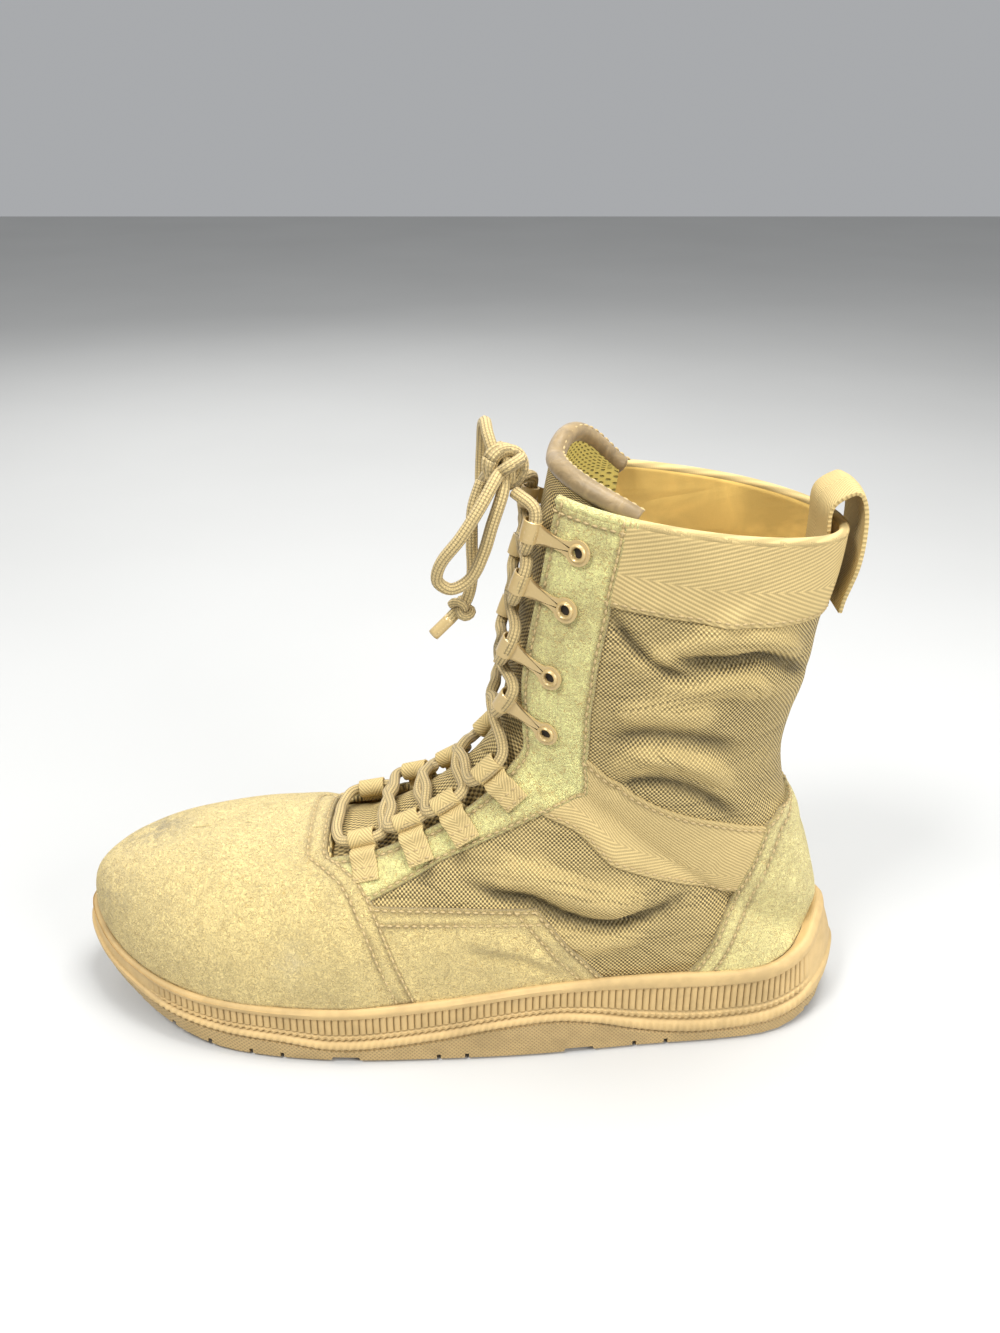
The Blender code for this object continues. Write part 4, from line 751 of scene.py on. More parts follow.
class Tree:
    """A short way to add and join the nodes of one node tree."""

    def __init__(self, tree):
        self.tree = tree

    def add(self, kind, settings=None, **inputs):
        node = self.tree.nodes.new(kind if kind.startswith("NodeGroup") else "ShaderNode" + kind)
        for name, value in (settings or {}).items():
            setattr(node, name, value)
        for name, value in inputs.items():
            self.wire(node.inputs[name.replace("_", " ")], value)
        return node

    def wire(self, socket, value):
        if isinstance(value, bpy.types.NodeSocket):
            self.tree.links.new(value, socket)
        else:
            socket.default_value = value

    def math(self, operation, *values):
        node = self.tree.nodes.new("ShaderNodeMath")
        node.operation = operation
        for socket, value in zip(node.inputs, values):
            self.wire(socket, value)
        return node.outputs[0]

    def times(self, first, second):
        return self.math("MULTIPLY", first, second)

    def plus(self, first, second):
        return self.math("ADD", first, second)

    def minus(self, first, second):
        return self.math("SUBTRACT", first, second)

    def over(self, first, second):
        return self.math("DIVIDE", first, second)

    def where(self):
        return self.add("TexCoord").outputs["Object"]

    def mix(self, factor, first, second):
        node = self.tree.nodes.new("ShaderNodeMix")
        node.data_type = "RGBA"
        self.wire(node.inputs[0], factor)
        self.wire(node.inputs[6], with_alpha(first))
        self.wire(node.inputs[7], with_alpha(second))
        return node.outputs[2]

    def steps(self, value, low, high, to_low=0.0, to_high=1.0):
        node = self.tree.nodes.new("ShaderNodeMapRange")
        for socket, given in zip(node.inputs, (value, low, high, to_low, to_high)):
            self.wire(socket, given)
        return node.outputs[0]

    def noise(self, vector, scale, detail=2.0, distortion=0.0, roughness=0.5):
        node = self.add(
            "TexNoise", Vector=vector, Scale=scale, Detail=detail, Roughness=roughness, Distortion=distortion
        )
        return node.outputs["Fac"]


def group(name, inputs, outputs):
    """An empty node group with its sockets, each a name and a kind."""
    made = bpy.data.node_groups.new(name, "ShaderNodeTree")
    for title, kind in inputs:
        made.interface.new_socket(name=title, in_out="INPUT", socket_type="NodeSocket" + kind)
    for title, kind in outputs:
        made.interface.new_socket(name=title, in_out="OUTPUT", socket_type="NodeSocket" + kind)
    tree = Tree(made)
    start, end = tree.add("NodeGroupInput"), tree.add("NodeGroupOutput")
    return tree, start.outputs, end


def soil_group():
    """Blotches of wear and dirt over a colour."""
    tree, given, end = group(
        "soil",
        (("Colour", "Color"), ("Dirt", "Color"), ("Amount", "Float"), ("Size", "Float")),
        (("Colour", "Color"),),
    )
    where = tree.where()
    scale = tree.over(1.0, given["Size"])
    broad = tree.noise(where, scale, 3.0, 0.6)
    fine = tree.noise(where, tree.times(scale, 4.3), 4.0, 0.3)
    patch_mask = tree.steps(tree.plus(tree.times(broad, 0.65), tree.times(fine, 0.35)), 0.44, 0.64)
    share = tree.times(patch_mask, given["Amount"])
    tree.wire(end.inputs["Colour"], tree.mix(share, given["Colour"], given["Dirt"]))


def nap_group():
    """The short curled fibres of suede and microsuede, as a height and a shade."""
    tree, given, end = group("nap", (("Size", "Float"),), (("Height", "Float"), ("Shade", "Float")))
    where = tree.where()
    scale = tree.over(1.0, given["Size"])
    curls = tree.noise(where, scale, 2.0, 2.2)
    ridges = tree.minus(1.0, tree.math("ABSOLUTE", tree.times(tree.minus(curls, 0.5), 7.0)))
    ridges = tree.math("MAXIMUM", ridges, 0.0)
    grain = tree.noise(where, tree.times(scale, 2.6), 3.0, 0.8)
    tree.wire(end.inputs["Height"], tree.plus(tree.times(ridges, 0.55), grain))
    tree.wire(end.inputs["Shade"], tree.plus(tree.times(ridges, 0.5), tree.times(grain, 0.5)))


def wrinkle_group():
    """Long shallow wrinkles that run across a shaft, as a height."""
    tree, given, end = group("wrinkles", (("Scale", "Float"),), (("Height", "Float"),))
    where = tree.where()
    stretched = tree.add("VectorMath", {"operation": "MULTIPLY"})
    tree.wire(stretched.inputs[0], where)
    stretched.inputs[1].default_value = (0.55, 0.55, 1.5)
    broad = tree.noise(stretched.outputs["Vector"], given["Scale"], 1.0, 1.6)
    fold = tree.math("ABSOLUTE", tree.minus(broad, 0.5))
    crease = tree.math("MINIMUM", tree.times(fold, 6.0), 1.0)
    fine = tree.noise(stretched.outputs["Vector"], tree.times(given["Scale"], 3.1), 2.0, 0.8)
    tree.wire(end.inputs["Height"], tree.plus(crease, tree.times(fine, 0.5)))


def cloth_axes(tree):
    """The two directions of a cloth in millimetres, and its third value, from its own attribute."""
    cloth = tree.add("Attribute", {"attribute_name": "cloth"})
    split = tree.add("SeparateXYZ", Vector=cloth.outputs["Vector"])
    return split.outputs["X"], split.outputs["Y"], split.outputs["Z"]


def basket_group():
    """Over and under yarns of a woven cloth, as a height from 0 to 1."""
    tree, given, end = group("basket", (("Pitch", "Float"),), (("Height", "Float"),))
    along, across, _ = cloth_axes(tree)
    turn = tree.over(math.tau, given["Pitch"])
    first = tree.math("COSINE", tree.times(along, turn))
    second = tree.math("COSINE", tree.times(across, turn))
    woven = tree.times(first, second)
    tree.wire(end.inputs["Height"], tree.plus(tree.times(woven, 0.5), 0.5))


def chevron_group():
    """Herringbone lines that turn at one ridge, as a height from 0 to 1."""
    tree, given, end = group(
        "chevron", (("Ridge", "Float"), ("Pitch", "Float"), ("Slope", "Float")), (("Height", "Float"),)
    )
    along, across, _ = cloth_axes(tree)
    side = tree.math("ABSOLUTE", tree.minus(across, given["Ridge"]))
    line = tree.plus(side, tree.times(along, given["Slope"]))
    wave = tree.math("SINE", tree.times(line, tree.over(math.tau, given["Pitch"])))
    knots = tree.math("SINE", tree.times(along, math.tau / 0.8))
    tree.wire(
        end.inputs["Height"],
        tree.plus(tree.times(wave, 0.42), tree.plus(tree.times(knots, 0.08), 0.5)),
    )


def braid_group():
    """A lace's braid: lengthwise lines and the small plaits between them."""
    tree, given, end = group(
        "braid", (("Strands", "Float"), ("Pitch", "Float")), (("Height", "Float"), ("Line", "Float"))
    )
    along, turn, _ = cloth_axes(tree)
    lines = tree.math("COSINE", tree.times(turn, tree.times(given["Strands"], math.tau)))
    mask = tree.steps(lines, 0.35, 0.9)
    run = tree.times(along, tree.over(math.tau, given["Pitch"]))
    lean = tree.times(tree.math("ABSOLUTE", lines), 2.4)
    plait = tree.math("SINE", tree.plus(run, lean))
    tree.wire(end.inputs["Line"], mask)
    height = tree.minus(tree.plus(tree.times(plait, 0.28), 0.6), tree.times(mask, 0.45))
    tree.wire(end.inputs["Height"], height)


def finish(name, colour, roughness, height=None, bump=0.0, depth=0.0004, broad=None, **shader_inputs):
    """Closes a material: a Principled shader with its colour, roughness, fine bump and broad wrinkles."""
    tree = Tree(bpy.data.materials[name].node_tree)
    shader = tree.tree.nodes["Principled BSDF"]
    tree.wire(shader.inputs["Base Color"], with_alpha(colour))
    tree.wire(shader.inputs["Roughness"], roughness)
    for title, value in shader_inputs.items():
        tree.wire(shader.inputs[title.replace("_", " ")], value)
    if height is not None:
        bumped = tree.add("Bump", Strength=bump, Distance=depth, Height=height)
        if broad is not None:
            under = tree.add("Bump", Strength=broad[1], Distance=broad[2], Height=broad[0])
            tree.wire(bumped.inputs["Normal"], under.outputs["Normal"])
        tree.wire(shader.inputs["Normal"], bumped.outputs["Normal"])


def new_material(name):
    if name in bpy.data.materials:
        raise RuntimeError(f"The name {name} is already a material of the frame")
    made = bpy.data.materials.new(name)
    made.use_nodes = True
    return Tree(made.node_tree)


def placed(tree, name, **inputs):
    """A shared effect placed in a material."""
    node = tree.add("Group", {"node_tree": bpy.data.node_groups[name]})
    for title, value in inputs.items():
        socket = node.inputs[title]
        tree.wire(socket, with_alpha(value) if socket.type == "RGBA" else value)
    return node.outputs


def darker(colour, share):
    return tuple(c * share for c in colour)


def lighter(colour, share):
    return tuple(min(c * share, 1) for c in colour)


def smudge(tree, place, size):
    """A soft round mark at a place on the boot, broken up by noise."""
    where = tree.where()
    away = tree.add("VectorMath", {"operation": "DISTANCE"})
    tree.wire(away.inputs[0], where)
    away.inputs[1].default_value = place
    reach = tree.over(away.outputs["Value"], size)
    near = tree.minus(1.0, tree.math("MINIMUM", reach, 1.0))
    broken = tree.steps(tree.noise(where, 190.0, 4.0, 0.8), 0.38, 0.62)
    return tree.times(near, broken)


def make_suede(name, colour, dirt, amount):
    tree = new_material(name)
    shadow = tuple(c * share for c, share in zip(colour, (0.56, 0.47, 0.36)))
    nap = placed(tree, "nap", Size=0.0014)
    light = tree.mix(tree.steps(nap["Shade"], 0.18, 0.50), shadow, lighter(colour, 1.24))
    where = tree.where()
    worn = tree.noise(where, 230.0, 5.0, 1.4, 0.65)
    light = tree.mix(tree.steps(worn, 0.34, 0.50, 0.28, 0.0), light, shadow)
    light = tree.mix(tree.steps(worn, 0.52, 0.68, 0.0, 0.8), light, lighter(colour, 1.22))
    dirt_and_shade = placed(tree, "soil", Colour=light, Dirt=dirt, Amount=amount, Size=0.030)["Colour"]
    dents = tree.noise(where, 85.0, 2.0, 0.6)
    height = tree.plus(nap["Height"], tree.times(dents, 1.2))
    # Painted shade in the stitch grooves and along the rolled edges, with the dirt that gathers there: the
    # cloth's third value darkens the colour.
    seam = cloth_axes(tree)[2]
    dirt_and_shade = tree.mix(tree.times(seam, 0.7), dirt_and_shade, darker(shadow, 0.62))
    marks = (
        ((-0.146, -0.022, 0.058), 0.020),
        ((-0.142, -0.040, 0.040), 0.018),
        ((-0.126, 0.006, 0.073), 0.020),
    )
    for place, size in marks:
        dirt_and_shade = tree.mix(tree.times(smudge(tree, place, size), 0.8), dirt_and_shade, srgb(122, 112, 92))
    for place, size in (((-0.110, -0.046, 0.050), 0.008), ((-0.062, -0.046, 0.043), 0.012)):
        dirt_and_shade = tree.mix(tree.times(smudge(tree, place, size), 0.6), dirt_and_shade, srgb(226, 208, 160))
    fuzz = {"Sheen_Weight": 0.25, "Sheen_Roughness": 0.6, "Specular_IOR_Level": 0.2}
    finish(name, dirt_and_shade, 0.95, height, 0.9, 0.0008, **fuzz)


def make_nylon(name, colour, pitch):
    tree = new_material(name)
    woven = placed(tree, "basket", Pitch=pitch)["Height"]
    raised = tree.steps(woven, 0.30, 0.72)
    # Painted shade in the gaps between the raised yarns, almost black.
    yarn = tree.mix(raised, darker(colour, 0.15), colour)
    # Painted shade in the creases' troughs and painted highlight on their crests, from the crease depth kept
    # as the cloth's third value.
    deep = cloth_axes(tree)[2]
    yarn = tree.mix(tree.steps(deep, 0.05, 0.9, 0.0, 0.8), yarn, darker(colour, 0.12))
    yarn = tree.mix(tree.steps(deep, -0.05, -0.4, 0.0, 0.35), yarn, lighter(colour, 1.15))
    dirt_and_shade = placed(tree, "soil", Colour=yarn, Dirt=darker(colour, 0.60), Amount=0.35, Size=0.024)["Colour"]
    rough = tree.steps(raised, 0.0, 1.0, 0.85, 0.50)
    folds = (placed(tree, "wrinkles", Scale=46.0)["Height"], 0.45, 0.0024)
    finish(name, dirt_and_shade, rough, woven, 1.0, 0.0006, folds, Specular_IOR_Level=0.45)


def make_tape(name, colour, ridge, pitch=1.7, slope=0.36):
    tree = new_material(name)
    lines = placed(tree, "chevron", Ridge=ridge, Pitch=pitch, Slope=slope)["Height"]
    shade = tree.mix(tree.steps(lines, 0.2, 0.75), darker(colour, 0.74), lighter(colour, 1.08))
    # Painted shade in the stitch grooves and along the rolled edges, from the cloth's third value.
    shade = tree.mix(tree.times(cloth_axes(tree)[2], 0.45), shade, darker(colour, 0.45))
    dirt_and_shade = placed(tree, "soil", Colour=shade, Dirt=darker(colour, 0.70), Amount=0.3, Size=0.020)["Colour"]
    finish(name, dirt_and_shade, 0.82, lines, 0.6, 0.0003, Specular_IOR_Level=0.3)


def make_lining(name, colour):
    tree = new_material(name)
    nap = placed(tree, "nap", Size=0.0006)
    where = tree.where()
    broad = tree.noise(where, 45.0, 3.0, 1.0)
    shade = tree.mix(tree.steps(broad, 0.35, 0.65), darker(colour, 0.80), lighter(colour, 1.12))
    shade = tree.mix(tree.times(nap["Shade"], 0.25), shade, darker(colour, 0.6))
    folds = (placed(tree, "wrinkles", Scale=30.0)["Height"], 0.2, 0.0014)
    finish(name, shade, 0.95, nap["Height"], 0.25, 0.0003, folds, Sheen_Weight=0.3, Specular_IOR_Level=0.15)


def make_spacer(name, colour):
    """Spacer mesh: small round holes in offset rows."""
    tree = new_material(name)
    woven = placed(tree, "basket", Pitch=2.1)["Height"]
    holes = tree.steps(woven, 0.66, 0.92)
    shade = tree.mix(holes, colour, darker(colour, 0.42))
    finish(name, shade, 0.8, tree.minus(1.0, holes), 0.9, 0.0008)


def make_satin(name, colour):
    tree = new_material(name)
    where = tree.where()
    folds = tree.noise(where, 160.0, 3.0, 1.4)
    shade = tree.mix(tree.steps(folds, 0.3, 0.7), darker(colour, 0.72), lighter(colour, 1.15))
    finish(name, shade, 0.48, folds, 0.5, 0.0007, Sheen_Weight=0.2)


def make_rubber(name, colour, crosshatch):
    """Moulded rubber; the outsole's has a fine raised crosshatch."""
    tree = new_material(name)
    where = tree.where()
    dirt_and_shade = placed(tree, "soil", Colour=colour, Dirt=darker(colour, 0.62), Amount=0.5, Size=0.018)["Colour"]
    grain = tree.noise(where, 1400.0, 2.0)
    height = tree.times(grain, 0.25)
    if crosshatch:
        split = tree.add("SeparateXYZ", Vector=where)
        x, z = split.outputs["X"], split.outputs["Z"]
        run = tree.plus(x, tree.times(split.outputs["Y"], 0.55))
        first = tree.math("SINE", tree.times(tree.plus(run, z), math.tau / 0.00175))
        second = tree.math("SINE", tree.times(tree.minus(run, z), math.tau / 0.00175))
        hatch = tree.math("MAXIMUM", first, second)
        height = tree.plus(height, tree.times(hatch, 0.4))
        # Painted shade in the grooves between the crosshatch's ridges.
        dirt_and_shade = tree.mix(tree.steps(hatch, 0.7, 0.0, 0.0, 0.6), dirt_and_shade, darker(colour, 0.45))
    else:
        # Painted shade in the midsole's rib grooves and channels, from how far in the wall is set.
        dirt_and_shade = tree.mix(tree.steps(cloth_axes(tree)[2], 0.2, 1.0, 0.0, 0.75), dirt_and_shade, darker(colour, 0.42))
    rough = tree.steps(tree.noise(where, 60.0, 3.0), 0.3, 0.7, 0.52, 0.72)
    finish(name, dirt_and_shade, rough, height, 0.5, 0.0003, Specular_IOR_Level=0.4)


def make_braid(name, colour):
    tree = new_material(name)
    braid = placed(tree, "braid", Strands=10.0, Pitch=1.1)
    # Painted shade and highlight on the plaits by their height, and painted shade in the grooves between the
    # strands.
    shade = tree.mix(tree.steps(braid["Height"], 0.2, 0.8), darker(colour, 0.80), lighter(colour, 1.12))
    shade = tree.mix(tree.times(braid["Line"], 0.75), shade, darker(colour, 0.36))
    dirt_and_shade = placed(tree, "soil", Colour=shade, Dirt=darker(colour, 0.65), Amount=0.3, Size=0.015)["Colour"]
    finish(name, dirt_and_shade, 0.75, braid["Height"], 0.8, 0.0004, Sheen_Weight=0.15, Specular_IOR_Level=0.35)


def make_metal(name, colour):
    tree = new_material(name)
    where = tree.where()
    worn = tree.steps(tree.noise(where, 900.0, 4.0, 0.5), 0.60, 0.72)
    shade = tree.mix(tree.times(worn, 0.6), colour, srgb(214, 188, 146))
    rough, dents = tree.steps(worn, 0.0, 1.0, 0.34, 0.5), tree.noise(where, 500.0)
    finish(name, shade, rough, dents, 0.1, 0.0002, Metallic=0.2, Coat_Weight=0.4)


def make_thread(name, colour):
    tree = new_material(name)
    where = tree.where()
    shade = tree.mix(tree.noise(where, 900.0), darker(colour, 0.75), colour)
    finish(name, shade, 0.7, tree.noise(where, 3000.0), 0.4, 0.0002)


def make_floor_paint(name):
    tree = new_material(name)
    where = tree.where()
    shade = tree.mix(tree.noise(where, 3.0, 3.0), srgb(186, 186, 184), srgb(196, 196, 194))
    finish(name, shade, 0.85, tree.noise(where, 400.0, 3.0), 0.05, 0.0005)


def add_piece(name, mesh, slot, finishes, *nodes):
    """A shown piece of the boot, standing for the CAD nodes named."""
    made = bpy.data.objects.new(name, mesh)
    bpy.context.scene.collection.objects.link(made)
    for title in finishes:
        mesh.materials.append(bpy.data.materials[title])
    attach(made, "root")
    if nodes:
        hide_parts(*nodes)
    return made


def lay_grid(bm, points, cloth):
    """A grid of faces through rows of points, each with its place in the cloth, in millimetres."""
    layer = bm.verts.layers.float_vector.get("cloth") or bm.verts.layers.float_vector.new("cloth")
    rows, columns = points.shape[:2]
    made = bmesh.ops.create_grid(bm, x_segments=columns - 1, y_segments=rows - 1, size=1)
    for vert, point, place in zip(made["verts"], points.reshape(-1, 3), cloth.reshape(-1, 3)):
        vert.co = point
        vert[layer] = place
    return made["verts"]


def foot_core(point):
    """The middle of the foot or leg beside a point, from which every sheet faces away."""
    if point.z > INSTEP_HEIGHT:
        return Vector((x_of(0.23), 0, point.z))
    return Vector((min(max(point.x, x_of(0.85)), x_of(0.18)), 0, SOLE_HEIGHT * 1.8))


def sheet_mesh(name, sheets, merge=1e-4):
    """One mesh from sheets that meet along shared edges, facing out."""
    bm = bmesh.new()
    for points, cloth in sheets:
        lay_grid(bm, points, cloth)
    bmesh.ops.remove_doubles(bm, verts=bm.verts, dist=merge)
    bmesh.ops.dissolve_degenerate(bm, edges=bm.edges, dist=1e-5)
    bmesh.ops.recalc_face_normals(bm, faces=bm.faces)
    away = 0.0
    for face in bm.faces:
        centre = face.calc_center_median()
        away += (centre - foot_core(centre)).dot(face.normal) * face.calc_area()
    if away < 0:
        bmesh.ops.reverse_faces(bm, faces=bm.faces)
    return mesh_of(bm, name)


def wall(piece, thickness, inner_finish=0, offset=-1):
    made = piece.modifiers.new("wall", "SOLIDIFY")
    made.thickness = thickness
    made.offset = offset
    made.material_offset = inner_finish
    made.use_quality_normals = True


def fold_height(side, points):
    """How far the cloth stands out or sinks at each point, from the table of creases."""
    x, z = points[..., 0] * 1000, points[..., 2] * 1000
    rise = np.zeros_like(x)
    for width, height, line in FOLDS[side]:
        line = np.array(line, float)
        knots = run_along(line)
        at = np.linspace(0, knots[-1], 40)
        way = curve(knots, line, at)
        away = np.full(x.shape, 1e9)
        fade = np.zeros_like(x)
        for place, run in zip(way, at / knots[-1]):
            gap = np.hypot(x - place[0], z - place[1])
            closer = gap < away
            away = np.where(closer, gap, away)
            fade = np.where(closer, min(1.0, 4 * run + 0.15, 4 * (1 - run) + 0.15), fade)
        reach = width if height > 0 else width * 0.8
        rise += height * fade * np.exp(-((away / reach) ** 2))
    ripple = 0.32 * np.sin(x / 7.3 + 1.1 * np.sin(z / 11)) * np.sin(z / 8.1 + side)
    return (rise * FOLD_STRENGTH + ripple) * 0.001 * bpy.context.scene.boot_sizes.folds


def on_last(last, base, across, height):
    """Points over the last at a height, with its creases; both sides agree on their shared seams."""
    base, across = np.broadcast_arrays(np.asarray(base, float), np.asarray(across, float))
    points, normals = last.at(base, across), last.normal(base, across).copy()
    if points.ndim == 3 and base[0, 0] < 1 < base[-1, 0]:
        ease = 0.5 * np.exp(-(((base - 1.02) / 0.06) ** 2))[..., None]
        for _ in range(24):
            mean = normals.copy()
            mean[1:-1] = (normals[:-2] + normals[2:]) / 2
            normals += (mean - normals) * ease
    seam = (across > 0.9999) | ((base >= 1) & (across < 1e-4)) | (base < 1e-4)
    normals[seam, 1] = 0
    normals /= np.maximum(np.linalg.norm(normals, axis=-1, keepdims=True), 1e-9)
    fade = np.clip(np.abs(points[..., 1] + MIDDLE) / 0.012, 0, 1)
    lift = height + fade * fold_height(last.side, points)
    return points + normals * lift[..., None]


def creased(last, points):
    """Places in the nylon, with the depth of its creases as the third value."""
    place = unrolled(points)
    place[..., 2] = np.clip(-fold_height(last.side, points) / 0.0024, -0.5, 1)
    return place


def unrolled(points):
    """Places in the nylon, in millimetres: along the side, then on round the back of the leg."""
    x, y, z = points[..., 0], points[..., 1], points[..., 2]
    bend = np.interp(z, (0.05, 0.10, 0.15, 0.20), (0.105, 0.092, 0.088, 0.100))
    turn = np.arctan2(np.maximum(x - bend, 0), np.abs(y + MIDDLE))
    return np.stack([np.minimum(x, bend) + turn * 0.033, z, np.zeros_like(x)], axis=-1) * 1000


def edge_runs(points):
    """Each point's distance from the sheet's four edges, along its rows and columns."""
    down = np.linalg.norm(np.diff(points, axis=0), axis=-1)
    across = np.linalg.norm(np.diff(points, axis=1), axis=-1)
    rows = np.concatenate([np.zeros((1, points.shape[1])), np.cumsum(down, axis=0)])
    columns = np.concatenate([np.zeros((points.shape[0], 1)), np.cumsum(across, axis=1)], axis=1)
    return {
        "first_row": rows,
        "last_row": rows[-1] - rows,
        "first_column": columns,
        "last_column": columns[:, -1:] - columns,
    }


def finer(step, width, start=False, end=False):
    """Shares across a panel at about a step apart, closer along each edge that shows."""
    share = np.linspace(0, 1, max(3, round(width / step)) + 1)
    rolled = np.array((0.0, 0.00022, 0.0005, 0.0009, 0.0014)) / width
    if start:
        share = np.concatenate([rolled, share[share > rolled[-1] * 1.4]])
    if end:
        share = np.concatenate([share[share < 1 - rolled[-1] * 1.4], 1 - rolled[::-1]])
    return share


def panel(last, base, across, thickness, rolled=(), seams=(), cloth=None):
    """A sewn panel on the last: its points and cloth places. Its stitch lines are kept for the sewing."""
    flat = last.at(base, across)
    runs = edge_runs(flat)
    height = np.full(flat.shape[:2], thickness)
    for edge in rolled:
        inside = np.clip(runs[edge] / ROLLED_EDGE, 0, 1)
        height = np.minimum(height, (thickness + 0.0003) * np.sqrt(1 - (1 - inside) ** 2) - 0.0003)
    for edge, offset in seams:
        height = height - STITCH_GROOVE * np.exp(-(((runs[edge] - offset) / 0.0007) ** 2))
    points = on_last(last, base, across, height)
    # How near each point lies to a rolled edge or stitch line, kept as the cloth's third value, where the
    # finishes paint shade.
    near = [np.exp(-((runs[edge] / 0.0011) ** 2)) for edge in rolled]
    near += [np.exp(-(((runs[edge] - offset) / 0.0011) ** 2)) for edge, offset in seams]
    near = np.max(near, axis=0)
    for edge, offset in seams:
        run = runs[edge]
        flip = edge.endswith("row")
        lines = zip(run.T, base.T, across.T) if flip else zip(run, base, across)
        places = []
        for distance, b, a in lines:
            order = distance.argsort()
            if distance.max() > offset:
                places.append([np.interp(offset, distance[order], way[order]) for way in (b, a)])
        if len(places) > 2:
            places = np.array(places)
            line = on_last(last, places[:, 0], places[:, 1], np.full(len(places), thickness - 0.0002))
            SEAMS.append((line, last.normal(places[:, 0], places[:, 1])))
    if cloth == "turned":
        wide = runs["first_row"][-1]
        tall = runs["first_row"] / np.maximum(wide, 1e-6) * wide.mean()
        along = np.broadcast_to(runs["first_column"].mean(axis=0), tall.shape)
        place = np.stack([along * 1000, tall * 1000, near], axis=-1)
    else:
        place = unrolled(flat)
        place[..., 2] = near
    return points, place


def mesh_of(bm, name, sharp=None):
    """The mesh that a bmesh holds, smooth but for edges sharper than an angle in degrees."""
    mesh = bpy.data.meshes.new(name)
    bm.to_mesh(mesh)
    bm.free()
    mesh.shade_smooth()
    if sharp:
        mesh.set_sharp_from_angle(angle=math.radians(sharp))
    return mesh


def close_turn(bm, verts, columns):
    """Join the first and last columns of a grid that goes all the way round."""
    seam = [v for i, v in enumerate(verts) if i % columns in (0, columns - 1)]
    bmesh.ops.remove_doubles(bm, verts=seam, dist=1e-6)


def tube_grid(route, radius, step, around, lobes=0, flat=1.0, start=None):
    """Rings of points round a route, with their cloth places: length in millimetres and share of the turn."""
    route = np.array(route, float)
    knots = run_along(route)
    at = np.linspace(0, knots[-1], max(3, round(knots[-1] / step)) + 1)
    line = curve(knots, route, at)
    ahead = np.gradient(line, axis=0)
    ahead /= np.linalg.norm(ahead, axis=1)[:, None]
    side = np.cross(ahead[0], start if start is not None else (0.3, 0.2, 0.93))
    turn = np.linspace(0, math.tau, around + 1)
    zero = np.zeros(len(turn))
    rings, places = [], []
    for point, way, run in zip(line, ahead, at):
        side = side - way * side.dot(way)
        side /= np.linalg.norm(side)
        up = np.cross(way, side)
        reach = radius * (1 + 0.035 * np.cos(lobes * turn)) if lobes else np.full(len(turn), radius)
        rings.append(point + np.outer(reach * np.cos(turn), side) + np.outer(reach * flat * np.sin(turn), up))
        places.append(np.stack([zero + run * 1000, turn / math.tau, zero], axis=-1))
    return np.array(rings), np.array(places), line


def tube_mesh(name, routes, radius, step=0.0012, around=18, lobes=6, flat=1.0):
    """Round cords along routes, closed at both ends, as one mesh; also the last route's own line."""
    bm = bmesh.new()
    for route in routes:
        rings, places, line = tube_grid(route, radius, step, around, lobes, flat)
        close_turn(bm, lay_grid(bm, rings, places), rings.shape[1])
    bmesh.ops.holes_fill(bm, edges=[e for e in bm.edges if e.is_boundary], sides=0)
    bmesh.ops.recalc_face_normals(bm, faces=bm.faces)
    return mesh_of(bm, name), line


def corded(name, routes, radius, slot, finish_name, *nodes, **shape):
    """Round cords as one shown piece, and the last one's own line."""
    mesh, line = tube_mesh(name, routes, radius, **shape)
    return add_piece(name, mesh, slot, [finish_name], *nodes), line


def sewn(name, sheets, slot, finishes, node, thickness, inner_finish=0, offset=-1, merge=1e-4):
    """Sheets with a thickness, as one shown piece that stands for a CAD node."""
    piece = add_piece(name, sheet_mesh(name, sheets, merge), slot, finishes, node)
    wall(piece, thickness, inner_finish, offset)
    return piece


def soft_edges(piece, width):
    soft = piece.modifiers.new("soft_edges", "BEVEL")
    soft.width = width
    soft.segments = 2
    soft.limit_method = "ANGLE"
    soft.angle_limit = math.radians(50)


class BOOT_OT_materials(bpy.types.Operator):
    """Make every finish of the boot from node groups"""

    bl_idname = "boot.materials"
    bl_label = "Finishes"

    def execute(self, context):
        for make in (soil_group, nap_group, wrinkle_group, basket_group, chevron_group, braid_group):
            make()
        c = context.scene.boot_colours
        # One suede in three copies: painted shade darkens the vamp's and sides' copy, and painted light
        # brightens the counter's and the eyestays' and collar rims' copies. The eyestays' copy also carries
        # real dirt.
        make_suede("suede_napped", darker(c.suede, 0.93), darker(c.suede, 0.70), 0.35)
        make_suede("suede_heel", darker(c.suede, 1.12), darker(c.suede, 0.70), 0.35)
        make_suede("suede_worn", darker(c.suede, 1.22), srgb(150, 112, 62), 0.36)
        make_nylon("nylon_woven", tuple(c.nylon), 1.6)
        make_tape("tape_collar", tuple(c.tape), 12.5, 1.5)
        make_tape("tape_ankle", tuple(c.tape), 8.5, 1.25, 0.42)
        make_tape("tape_rim", tuple(c.tape), 0.5, 0.34, 0.02)
        make_tape("tape_narrow", tuple(c.tape), 12.0, 1.3, 0.8)
        make_lining("lining_micro", tuple(c.lining))
        make_spacer("spacer_mesh", tuple(c.mesh))
        make_satin("satin", tuple(c.binding))
        make_rubber("rubber_moulded", tuple(c.rubber), False)
        make_rubber("rubber_tread", darker(c.rubber, 0.86), True)
        make_braid("lace_braid", tuple(c.lace))
        make_metal("painted_steel", tuple(c.metal))
        make_thread("hole_shadow", srgb(44, 34, 24))
        make_thread("thread", srgb(196, 172, 122))
        make_floor_paint("studio_floor")
        return {"FINISHED"}


